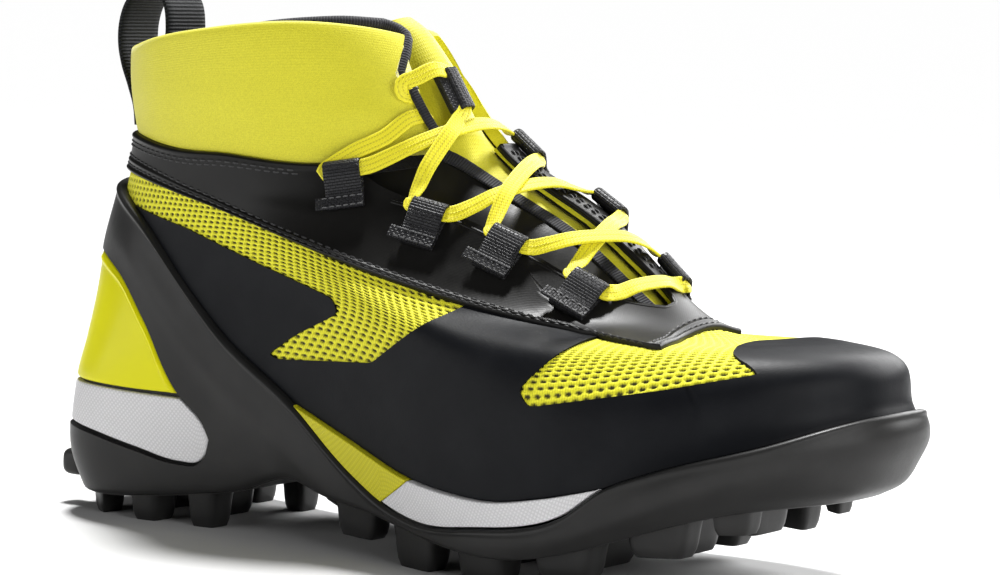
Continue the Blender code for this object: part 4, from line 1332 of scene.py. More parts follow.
    def lug_boxes(self) -> list:
        """Middle x, middle y at the back and front, tip height, size and root heights of each lug.

        Returns:
            One row for each lug.
        """
        u = np.linspace(0, 0.5, 241)
        near, far = LAST.surface(u, 0.0), LAST.surface(1 - u, 0.0)
        rows = [(x, (y, y), *rest) for x, y, *rest in self.middle_lugs]
        for x, tip, length, width in self.edge_lugs:
            ends = np.array((x - length / 2, x + length / 2))
            for side, ring in ((-1, near), (1, far)):
                edge = np.interp(ends, ring[:, 0], ring[:, 1])
                rows.append((x, edge - side * (width / 2 - 1 - self.lug_out), tip, length, width))
        lugs = []
        for x, sides, tip, length, width in rows:
            ends = np.array((x - length / 2, x + length / 2))
            roots = np.interp(ends, near[:, 0], near[:, 2]) + self.lug_root
            lugs.append((x, sides, tip, length, width, roots))
        return lugs

    def lugs(self) -> list:
        """Every lug, copied from one block that is rounded, tapered and flared to a soft root.

        Returns:
            The lugs, then the end blocks.
        """
        deselect()
        bpy.ops.mesh.primitive_cube_add(size=2.0)
        block = bpy.context.active_object
        bpy.ops.object.mode_set(mode="EDIT")
        bpy.ops.mesh.select_all(action="SELECT")
        bpy.ops.mesh.subdivide(number_cuts=7)
        bpy.ops.object.mode_set(mode="OBJECT")
        corners = np.array([v.co for v in block.data.vertices])
        faces = [list(p.vertices) for p in block.data.polygons]
        bpy.data.objects.remove(block, do_unlink=True)
        a, b, c = corners.T
        power = self.lug_squareness
        square = np.maximum(np.maximum(abs(a), abs(b)), 1e-6)
        soft = square / np.maximum(abs(a) ** power + abs(b) ** power, 1e-9) ** (1 / power)
        rise = (c + 1) / 2
        size = self.lug_tip + 0.20 * rise + 0.4 * np.clip(rise - 0.45, 0, 1) ** 2
        size = size * soft * (1 - 0.12 * np.clip(1 - rise / 0.22, 0, 1) ** 2)
        made = []
        for k, (x, sides, tip, length, width, roots) in enumerate(self.lug_boxes()):
            root = roots[0] + (roots[1] - roots[0]) * (a + 1) / 2
            along, across = a * size, b * size * width / 2
            middle = sides[0] + (sides[1] - sides[0]) * (along + 1) / 2
            points = np.stack([x + along * length / 2, middle + across, tip + (root - tip) * rise], -1)
            made.append(shade(mesh_piece(f"lug_{k}", points, faces), self.lug_angle))
        power = self.block_squareness
        ball = corners / (np.abs(corners) ** power).sum(axis=1, keepdims=True) ** (1 / power)
        for k, (x, y, z, *span) in enumerate(self.end_blocks):
            points = np.array((x, y, z)) + ball * np.array(span) / 2
            made.append(shade(mesh_piece(f"end_block_{k}", points, faces), self.lug_angle))
        return made

    def heel_foam(self) -> Piece:
        """Pale foam in the heel window.

        Returns:
            The foam.
        """
        limit = LAST.u_of_x(1.2, self.foam_end)
        u = np.linspace(-limit, limit, 141)
        low = LAST.level_at_height(u, height_of(WINDOW_LOW, 1.4), 0.0, 6.0)
        top, side = height_of(HEEL_FOAM_TOP), height_of(WINDOW_HIGH, -0.9)
        high = LAST.level_at_height(u, lambda p: np.minimum(top(p), side(p)), 0.0, 6.0)
        high = np.maximum(high, low + 0.02)
        edge = Edge(0.8)
        return Wall(u, low, high, 0.35, self.foam_face, edge, edge, 12, False).build("heel_foam")

    def strip(self, name: str, side: int, ends: tuple, low: Height, high: Height, edge: Edge) -> Piece:
        """A strip of foam on one side of the sole.

        Args:
            name: the piece's name.
            side: -1 for the outer side, 1 for the inner.
            ends: x of its two ends.
            low: side-view line under it.
            high: side-view line over it.
            edge: form of its edges.

        Returns:
            The strip.
        """
        u = np.linspace(LAST.u_of_x(1.0, ends[0]), LAST.u_of_x(1.0, ends[1]), 110)
        u = u if side < 0 else 1 - u
        bottom = LAST.level_at_height(u, low, -0.2, 6.0)
        top = np.maximum(LAST.level_at_height(u, high, -0.2, 6.0), bottom + 0.015)
        return Wall(u, bottom, top, -0.6, self.foam_face, edge, edge, 10, False).build(name)

    def forefoot_foam(self) -> Piece:
        """Pale foam along the ball, on both sides.

        Returns:
            The two strips as one piece.
        """
        low = height_of(SOLE_EDGE, 0.7)
        top = height_of(FOAM_TOP, -0.2)

        def high(points: Array) -> Array:
            """Under the slanted end of the arch wedge, then under the film."""
            return np.minimum(top(points), wedge_slant(points) - 0.2)

        edge = Edge(0.5)
        ends = (WEDGE_END[0][0] + 0.5, FOAM_TOP[-1][0] - 1.0)
        pieces = [self.strip(f"fore_strip_{side}", side, ends, low, high, edge) for side in (-1, 1)]
        return joined("forefoot_foam", pieces)

    def arch_wedge(self, name: str, side: int) -> Piece:
        """Yellow foam wedge under the film at the arch.

        Args:
            name: the piece's name.
            side: -1 for the outer side, 1 for the inner.

        Returns:
            The wedge.
        """
        edge_line, top = height_of(SOLE_EDGE, 0.2), height_of(FOAM_TOP, -0.2)

        def low(points: Array) -> Array:
            """Over the rubber, then over the slanted end of the pale foam."""
            past = points[..., 0] > WEDGE_END[0][0]
            return np.maximum(edge_line(points), np.where(past, wedge_slant(points), -100.0))

        ends = (FOAM_TOP[0][0] + 1.5, WEDGE_END[1][0] - 0.5)
        return self.strip(name, side, ends, low, top, Edge(0.5))

    def heel_clip(self) -> Piece:
        """Glossy cradle round the heel, with a raised rib along its edge.

        Returns:
            The cradle.
        """
        limit = LAST.u_of_x(2.0, self.clip_end)
        u = np.linspace(-limit, limit, 161)
        low = LAST.level_at_height(u, height_of(CLIP_FOOT, 0.2), 1.0, 6.0)
        high = np.maximum(LAST.level_at_height(u, height_of(WINDOW_HIGH, -0.9), 1.0, 6.0), low + 0.02)
        head = Edge(1.0, ((2.6, 0.9, 0.5),), 6.0, 0.5)
        return Wall(u, low, high, *self.clip, Edge(1.2), head, 16, False).build("heel_cradle")


@dataclass
class Upper:
    """Mesh upper with its welded film, eyestay band and stitching; a layer has inner and outer distances."""
    wall: tuple = (-2.0, -0.8)
    film: tuple = (-0.7, 1.0)
    band: tuple = (-0.7, 1.5)
    lining: tuple = (-2.9, -2.1)
    piping: Edge = Edge(0.6, ((0.9, 0.7, 0.6), (3.7, 0.8, 0.5)), 6.4, 0.3)
    hem: Edge = Edge(0.6, ((1.2, 0.9, 0.6),), 5.0, 0.35)
    slot_pitch: tuple = (3.2, 1.75)
    slot_half: tuple = (0.98, 0.45)
    slot_depth: float = 0.7
    mesh_face: float = 0.3
    mesh_step: tuple = (0.58, 0.33)

    def build(self, caster: Caster) -> None:
        """Model and dress all the upper's pieces.

        Args:
            caster: the form.
        """
        u = np.arange(AROUND) / AROUND
        foot = self.film_foot(u)
        edge = self.band_edge(u)
        show(self.inner_wall(u), KNIT_MESH, "upper")
        show(self.lining_wall(u), LINING)
        show(self.mesh_windows(), KNIT_MESH)
        show(self.film_overlay(u, foot, edge), FILM, "film_overlay")
        band = Wall(u, edge, seam_level(u) - 0.01, *self.band, foot=self.piping, head=self.hem, rows=72,
                    swell=sunk_folds)
        show(open_throat(band.build("eyestay_band")), SHEET, "eyestay")
        show(self.throat_piping(caster), SHEET)
        show(self.stitching(band, caster), THREAD)

    def film_foot(self, u: Array) -> Array:
        """Level of the film's lower line.

        Args:
            u: places along the rings.

        Returns:
            One level for each place.
        """
        rubber, foam = height_of(SOLE_EDGE, 0.2), height_of(FOAM_TOP)

        def line(points: Array) -> Array:
            """Over the foam where it shows, and over the rubber elsewhere."""
            x = points[..., 0]
            shown = (x > FOAM_TOP[0][0]) & (x < FOAM_TOP[-1][0])
            return np.where(shown, np.maximum(foam(points), rubber(points)), rubber(points))

        return LAST.level_at_height(u, line)

    def band_edge(self, u: Array) -> Array:
        """Level of the eyestay's lower line.

        Args:
            u: places along the rings.

        Returns:
            One level for each place.
        """
        side = height_of(EYESTAY_EDGE)
        front = smooth_line(EYESTAY_FRONT)

        def above(points: Array) -> Array:
            """Positive over the side line and behind the front line."""
            limit = np.interp(points[..., 1], front[:, 1], front[:, 0])
            return np.minimum(points[..., 2] - side(points), limit - points[..., 0])

        return LAST.level_on(u, above, 2.5, 6.9)

    def inner_wall(self, u: Array) -> Piece:
        """The hollow mesh wall, open at the throat.

        Args:
            u: places along the rings.

        Returns:
            The wall.
        """
        wall = Wall(u, np.full(AROUND, 2.02), seam_level(u), *self.wall, rows=60)
        made = open_throat(wall.build("mesh_wall"))
        tag(made, "hollow", np.zeros(len(made.data.vertices)))
        return made

    def lining_wall(self, u: Array) -> Piece:
        """Dark cloth inside the upper."""
        wall = Wall(u, np.full(AROUND, 2.05), np.full(AROUND, 6.99), *self.lining, rows=50)
        return open_throat(wall.build("upper_lining"), 0.6)

    def front_window(self) -> Pair:
        """Side-view and plan outlines of the window over the toes."""
        side = rounded_outline(FRONT_WINDOW, 2.0)
        plan = np.concatenate([smooth_line(TOE_CAP_BACK), [(192, 70), (192, -70)]])
        return side, plan

    def film_overlay(self, u: Array, foot: Array, edge: Array) -> Piece:
        """Welded film with the mesh windows left open.

        Args:
            u: places along the rings.
            foot: level of its lower line.
            edge: level of the eyestay's lower line.

        Returns:
            The film.
        """
        head = np.maximum(edge + 0.06, foot + 0.05)
        thin = Edge(0.35)
        film = Wall(u, foot, head, *self.film, foot=thin, head=thin, rows=56,
                    swell=sunk_folds).build("film_overlay_skin")
        cut(film, prism(rounded_outline(REAR_WINDOW, 2.5), *SIDE_CUT))
        side, plan = self.front_window()
        window = cut(prism(side, *SIDE_CUT), prism(plan, *PLAN_CUT), "INTERSECT")
        return shade(cut(film, window))

    def throat_piping(self, caster: Caster) -> Piece:
        """Rolled edge along the throat.

        Args:
            caster: the form.

        Returns:
            The piping.
        """
        outline = slot_outline(THROAT)
        near, far = np.array_split(outline, 2)
        line = np.concatenate([far[far[:, 0] > 144.5], near[near[:, 0] > 128]])
        path, way = even(*caster.from_above(line, 0.75), 2.5)
        return strap("throat_piping", path, way, round_section(0.95))

    def mesh_windows(self) -> Piece:
        """Slotted knit in the film's windows, with its slots sunk in the cloth.

        Returns:
            The three patches as one piece.
        """
        rear = rounded_outline(REAR_WINDOW, 2.0)
        side, plan = self.front_window()
        back = smooth_line(EYESTAY_FRONT)

        def in_rear(points: Array) -> Array:
            """Whether points lie in the rear window."""
            return inside_outline(points[..., (0, 2)], rear)

        def in_front(points: Array) -> Array:
            """Whether points lie in the window over the toes."""
            shown = points[..., 0] > np.interp(points[..., 1], back[:, 1], back[:, 0]) - 6
            side_shown = (points[..., 2] < 76) & (abs(points[..., 1] - 4) > 24)
            return (inside_outline(points[..., (0, 2)], side) & inside_outline(points[..., :2], plan)
                    & (shown | side_shown))

        end, front = LAST.u_of_x(4.5, 190), LAST.u_of_x(3.2, 194)
        patches = (("mesh_rear_lateral", 0.0, end, 2.9, 6.6, in_rear),
                   ("mesh_rear_medial", 1 - end, 1.0, 2.9, 6.6, in_rear),
                   ("mesh_front", front, 1 - front, 2.6, 5.4, in_front))
        return joined("mesh_window_cloth", [self.mesh_patch(*patch) for patch in patches])

    def mesh_patch(self, name: str, start: float, end: float, low: float, high: float,
                   within: Callable[[Array], Array]) -> Piece:
        """A patch of slotted knit.

        Args:
            name: the patch's name.
            start: where it starts along the rings.
            end: where it ends.
            low: its lowest level.
            high: its highest level.
            within: which points of the form it covers.

        Returns:
            The patch, a little larger than the window that it fills.
        """
        middle_level, middle_u = (low + high) / 2, (start + end) / 2
        fine_u = np.linspace(start, end, 800)
        run_u = LAST.ring_run(fine_u, middle_level)
        a = np.arange(run_u[0], run_u[-1], self.mesh_step[0])
        u = np.interp(a, run_u, fine_u)
        fine_level = np.linspace(low, high, 300)
        profile = LAST.surface(middle_u, fine_level)
        run_v = run_along(profile)
        b = np.arange(0, run_v[-1], self.mesh_step[1])
        level = np.interp(b, run_v, fine_level)
        sunk = self.slots(*np.meshgrid(a, b))
        grid = LAST.surface(u[None, :], level[:, None])
        margin = 2.2
        covered = np.zeros(grid.shape[:2], bool)
        for dx in (-margin, 0, margin):
            for dz in (-margin, 0, margin):
                covered |= within(grid + np.array((dx, 0, dz)))
        out = self.mesh_face - sunk * self.slot_depth
        points = LAST.skin(u[None, :], level[:, None], out)
        faces = grid_faces(len(b), len(a))
        faces = faces[covered.ravel()[faces].all(axis=1)]
        used = np.unique(faces)
        renamed = np.zeros(points[..., 0].size, int)
        renamed[used] = np.arange(len(used))
        uv = flat_map(a, b)[used]
        made = mesh_piece(name, points.reshape(-1, 3)[used], renamed[faces], uv, closed=False)
        tag(made, "hollow", sunk.ravel()[used])
        return shade(made, math.radians(80))

    def slots(self, a: Array, b: Array) -> Array:
        """How far the cloth is sunk at each place, from 0 to 1.

        Args:
            a: run along the cloth.
            b: run up the cloth.

        Returns:
            One share for each place.
        """
        row = np.floor(b / self.slot_pitch[1])
        da = ((a / self.slot_pitch[0] + 0.5 * (row % 2)) % 1.0 - 0.5) * self.slot_pitch[0]
        db = (b / self.slot_pitch[1] - row - 0.5) * self.slot_pitch[1]
        far = np.sqrt((da / self.slot_half[0]) ** 2 + (db / self.slot_half[1]) ** 2)
        share = np.clip((1.35 - far) / 0.7, 0, 1)
        return share * share * (3 - 2 * share)

    def stitching(self, band: Wall, caster: Caster) -> Piece:
        """Rows of stitches along the band's piping, its top hem and the throat.

        Args:
            band: the eyestay band.
            caster: the form.

        Returns:
            All the stitches.
        """
        rows = []
        for k, run in enumerate((2.3, 5.3)):
            path, way = (np.concatenate([a, a[:1]]) for a in band.rail(run, self.band[1] + 0.05))
            rows.append(stitch_row(f"stitch_piping_{k}", path, way))
        shown = np.concatenate([np.arange(int(0.70 * AROUND), AROUND), np.arange(0, int(0.30 * AROUND))])
        for k, run in enumerate((-3.0, -4.4)):
            path, way = band.rail(run, self.band[1] + 0.05)
            rows.append(stitch_row(f"stitch_hem_{k}", path[shown], way[shown]))
        for k, grow in enumerate((2.2, 4.2)):
            outline = slot_outline(THROAT, grow)
            keep = outline[(outline[:, 0] > 147) & (outline[:, 0] < 206)]
            line = keep[keep[:, 1] > 3]
            path, way = even(*caster.from_above(line, self.band[1] + 0.15), 1.2)
            rows.append(stitch_row(f"stitch_throat_{k}", path, way))
        return joined("upper_stitching", rows)


@dataclass
class Collar:
    """Ankle cuff, its binding, the tongue and the insole.

    Attributes:
        front_cut: levels, and how far the cuff's front edge is cut back at each.
        tongue_rows: level, middle y, half width, reach and height of the crown, and sink of the tongue.
        border: level and y along the edge of the tongue's dark panel.
    """
    face: float = 0.8
    back: float = -3.2
    swell: float = 0.7
    middle_level: float = 7.4
    rim_level: float = 7.96
    rim_drop: float = 0.11
    front_cut: tuple = ((7.0, 7.35, 7.55, 7.72, 7.86), (0.0, 0.5, 7.0, 3.0, 0.0))
    binding_radius: float = 2.2
    binding_ahead: float = 1.6
    binding_levels: tuple = (7.44, 7.86)
    binding_shares: tuple = (-1, 0.78)
    binding_out: tuple = (-0.9, -2.9)
    heel_fullness: float = 2.4
    tongue_rows: tuple = ((4.5, 7, 9, 8, 0, 0), (5.0, 5, 18, 8, 0, 0), (5.6, 3, 24, 8, 0, 0),
                          (6.3, 2, 27, 9, 0, 0), (7.0, 3.5, 26, 10.5, 1.5, 0), (7.25, 4.5, 25, 10, 4, 0),
                          (7.55, 5.5, 23, 9, 8, 0.5), (7.9, 7.5, 19, 9, 7, 2), (8.12, 8, 14, 10, 4, 2))
    tongue_faces: tuple = (-6.9, -3.9)
    tongue_wide: int = 41
    tongue_count: int = 70
    border: tuple = ((7.06, -10.5), (7.0, -7.5), (6.85, -4.0), (6.6, -1.5), (6.2, 0.6), (5.8, 1.8),
                     (5.4, 3.4), (5.1, 5.0))
    band_web: tuple = (4.6, 1.0)
    edge_web: tuple = (3.2, 1.8)
    edge_levels: tuple = (6.98, 7.44)
    edge_out: float = 2.1
    edge_slant: float = 9.0
    insole_rim: tuple = (2.05, -3.2)
    insole_thick: float = 3.5

    def build(self) -> None:
        """Model and dress the collar's pieces."""
        show(self.cuff(), STRETCH, "ankle_cuff")
        show(self.cuff_lining(), LINING)
        show(self.binding(), BINDING, "cuff_binding")
        tongue = show(self.tongue(), STRETCH, "tongue")
        paint(tongue, SMOOTH, self.dark_faces(tongue))
        show(self.tongue_band(), BINDING)
        show(self.tongue_edge(), BINDING)
        show(self.insole(), LINING, "insole")

    def dark_faces(self, tongue: Piece) -> Array:
        """Which faces of the tongue lie on its dark panel, whose edge is under the tape.

        Args:
            tongue: the dressed tongue.

        Returns:
            True for each dark face.
        """
        faces = tongue.data.polygons
        size = len(tongue.data.vertices) // 2
        rows = np.array([max(v % size for v in face.vertices) // self.tongue_wide for face in faces])
        levels = np.linspace(self.tongue_rows[0][0], self.tongue_rows[-1][0], self.tongue_count)[rows]
        across = np.array([face.center.y for face in faces]) / MM + ORIGIN[1]
        border = np.array(self.border[::-1])
        limit = np.interp(levels - 0.04, border[:, 0], border[:, 1]) + 0.9
        return (levels < border[-1, 0]) & (across < limit)

    def front(self, side: int, level: float) -> float:
        """Y of the cuff's front edge on a ring: -1 for the outer side, 1 for the inner.

        Args:
            side: side of the cuff.
            level: ring.

        Returns:
            The edge's y.
        """
        rows = np.array(CUFF_SLOT[::-1], float)
        x = LAST.surface(0.5, level)[0]
        y = 0.0
        for _ in range(4):
            y = np.interp(x, rows[:, 0], rows[:, 1]) + side * np.interp(x, rows[:, 0], rows[:, 2])
            x = LAST.surface(LAST.u_at(level, y), level)[0]
        return float(y)

    def ring_ends(self, level: float, ahead: float = 0.0) -> tuple[float, float]:
        """Where the cuff starts and ends along a ring, round by the heel, or a distance ahead of that.

        Args:
            level: ring.
            ahead: distance past the edge.

        Returns:
            Places along the ring, the first one negative.
        """
        ends = []
        for side in (1, -1):
            u = LAST.u_at(level, self.front(side, level))
            step = 0.01 * side
            length = np.linalg.norm(LAST.surface(u + step, level) - LAST.surface(u, level))
            ends.append(u + step * (np.interp(level, *self.front_cut) - ahead) / length)
        return ends[0] - 1.0, ends[1]

    def rim(self, share: Array) -> Array:
        """Level of the cuff's rim, lower towards its front corners."""
        near = np.clip((np.abs(2 * share - 1) - 0.70) / 0.30, 0, 1)
        return self.rim_level - self.rim_drop * near**2

    def cuff(self) -> Piece:
        """Padded cuff, full in the middle and rolled over at its rim.

        Returns:
            The cuff.
        """
        steps = np.linspace(0, 1, 34)
        columns = 260
        share = np.linspace(0, 1, columns)
        rim = self.rim(share)
        full = self.face - 0.6 + self.swell * np.sin(np.pi * steps) ** 0.6 + 0.5 * steps

        def row(step: float) -> Pair:
            """Places and levels of a row up the cuff."""
            start, end = self.ring_ends(7.0 + (rim[0] - 7.0) * step)
            u = start + (end - start) * share
            seam = seam_level(u)
            return u, seam + (rim - seam) * step

        rows = []
        for step, out in zip(steps, full):
            u, level = row(step)
            heel = np.exp(-((1 - np.cos(2 * np.pi * u)) / 2 / 0.09) ** 2)
            out = out + self.heel_fullness * heel * math.sin(math.pi * min(0.5, 0.65 * step))
            rows.append(LAST.skin(u, level, out - folds(LAST.surface(u, level))))
        heel_out = self.heel_fullness * heel * math.sin(math.pi * 0.5)
        u, level = row(1.0)
        up = unit(LAST.surface(u, level + 0.02) - LAST.surface(u, level - 0.02))
        radius = (full[-1] - self.back) / 2
        for turn in np.linspace(0, np.pi, 11)[1:-1]:
            out = self.back + radius + radius * math.cos(turn)
            out = out + heel_out * (1 + math.cos(turn)) / 2
            rows.append(LAST.skin(u, level, out) + up * radius * 0.8 * math.sin(turn))
        for step in steps[::-3]:
            u, level = row(step)
            rows.append(LAST.skin(u, level, self.back))
        grid = np.array(rows)
        faces = sleeve_faces(len(grid), columns)
        uv = flat_map(LAST.ring_run(u, self.middle_level), run_along(grid[:, 0]))
        return shade(mesh_piece("cuff_stretch", grid.reshape(-1, 3), faces, uv))

    def cuff_lining(self) -> Piece:
        """Dark cloth inside the cuff, up to the turn of its rim.

        Returns:
            The lining.
        """
        levels = np.linspace(6.9, self.rim_level + 0.01, 20)
        columns = 200
        share = np.linspace(0.03, 0.99, columns)
        faces_out = (self.back - 0.25, self.back - 0.9)
        rows = []
        for order, out in ((levels, faces_out[0]), (levels[::-1], faces_out[1])):
            for level in order:
                start, end = self.ring_ends(max(level, 7.0))
                rows.append(LAST.skin(start + (end - start) * share, level, out))
        count = len(rows)
        uv = flat_map(LAST.ring_run(share, self.middle_level), np.arange(count) * 2.0)
        return shade(mesh_piece("cuff_lining", np.concatenate(rows), sleeve_faces(count, columns), uv))

    def binding(self) -> Piece:
        """Dark rolled edge up the cuff's outer front edge and round inside its rim.

        Returns:
            The binding.
        """
        climbing = []
        for level in np.linspace(*self.binding_levels, 9):
            _, end = self.ring_ends(level, self.binding_ahead)
            climbing.append((LAST.skin(end, level, self.binding_out[0]), LAST.outward(end, level)))
        start, end = self.ring_ends(self.rim_level)
        share = np.linspace(*self.binding_shares, 60)
        u = (start + end) / 2 - share * ((end - start) / 2 - 0.012)
        rise = self.rim_level - 0.09 + 0.15 * np.clip((np.abs(share) - 0.42) / 0.45, 0, 1)
        rim = LAST.skin(u, rise, self.binding_out[1])
        points, ways = split(climbing)
        route = np.concatenate([points, rim])
        normals = np.concatenate([ways, LAST.outward(u, 8.0)])
        smooth = smooth_line(np.concatenate([route, normals * 20], axis=1), 4.0)
        place, out = even(smooth[:, :3], unit(smooth[:, 3:]), 1.6)
        return strap("cuff_binding_roll", place, out, round_section(self.binding_radius, 12))

    def tongue_crown(self, level: float, y: Array) -> Array:
        """How far the tongue stands forward in the cuff's slot."""
        rows = np.array(self.tongue_rows, float)
        middle, reach, rise, sink = (np.interp(level, rows[:, 0], rows[:, c]) for c in (1, 3, 4, 5))
        return rise * np.maximum(0.0, 1 - ((y - middle) / reach) ** 2) - sink

    def tongue(self) -> Piece:
        """Padded tongue under the throat, rising past the rim.

        Returns:
            The tongue.
        """
        rows = np.array(self.tongue_rows, float)
        levels = np.linspace(rows[0, 0], rows[-1, 0], self.tongue_count)
        across = np.linspace(-1, 1, self.tongue_wide)
        pad = np.sqrt(np.maximum(0.0, 1 - np.abs(across) ** 8))
        sheets: list = [[], []]
        for level in levels:
            middle, half = (curve_through(rows[:, 0], rows[:, c], level) for c in (1, 2))
            ys = middle + half * across
            u = np.array([LAST.u_at(level, y) for y in ys])
            crown = self.tongue_crown(level, ys)
            centre = sum(self.tongue_faces) / 2
            for sheet, face in zip(sheets, self.tongue_faces):
                sheet.append(LAST.skin(u, level, centre + (face - centre) * pad + crown))
        faces = pad_faces(self.tongue_count, self.tongue_wide)
        uv = flat_map(across * 24, (levels - levels[0]) * 28)
        points = np.concatenate([np.array(sheet).reshape(-1, 3) for sheet in sheets])
        return shade(mesh_piece("tongue_pad", points, faces, np.concatenate([uv, uv])))

    def edge_side(self, level: float) -> float:
        """Y of the tongue's bound edge on a ring, which leans out over the cuff as it rises."""
        rows = np.array(self.tongue_rows, float)
        middle, reach = (np.interp(level, rows[:, 0], rows[:, c]) for c in (1, 3))
        return float(middle - reach * 1.02 - self.edge_slant * (level - self.edge_levels[0]))

    def tongue_band(self) -> Piece:
        """Ribbed tape along the edge of the tongue's dark panel.

        Returns:
            The tape.
        """
        spots = []
        for level, y in smooth_line(self.border, 0.02):
            out = self.tongue_faces[1] + float(self.tongue_crown(level, np.array(y))) + 0.25
            spots.append(LAST.over_instep(level, y, out))
        path, way = even(*split(spots), 1.5)
        return strap("tongue_band", path, way, flat_section(*self.band_web))

    def tongue_edge(self) -> Piece:
        """Dark bound edge of the tongue, where it comes out of the cuff's slot.

        Returns:
            The bound edge.
        """
        levels = np.linspace(*self.edge_levels, 24)
        spots = [LAST.over_instep(level, self.edge_side(level), self.edge_out) for level in levels]
        path, way = even(*split(spots), 1.5)
        return strap("tongue_edge", path, way, flat_section(*self.edge_web))

    def insole(self) -> Piece:
        """Footbed, sunk at the heel and crowned at its edges.

        Returns:
            The footbed.
        """
        count, wide = 90, 25
        k = np.linspace(0.03, 0.97, count) / 2
        near, far = LAST.skin(k, *self.insole_rim), LAST.skin(1 - k, *self.insole_rim)
        share = np.linspace(0, 1, wide)
        grid = near[:, None] + (far - near)[:, None] * share[None, :, None]
        dish = np.interp(grid[..., 0], (90, 190), (9.0, 3.0)) * (1 - (2 * share - 1)[None, :] ** 6)
        tops = grid - np.stack([0 * dish, 0 * dish, dish - 4.0], -1)
        lows = tops - np.array((0, 0, self.insole_thick))
        points = np.concatenate([tops.reshape(-1, 3), lows.reshape(-1, 3)])
        return shade(mesh_piece("insole_bed", points, pad_faces(count, wide), points[:, :2] * MM))


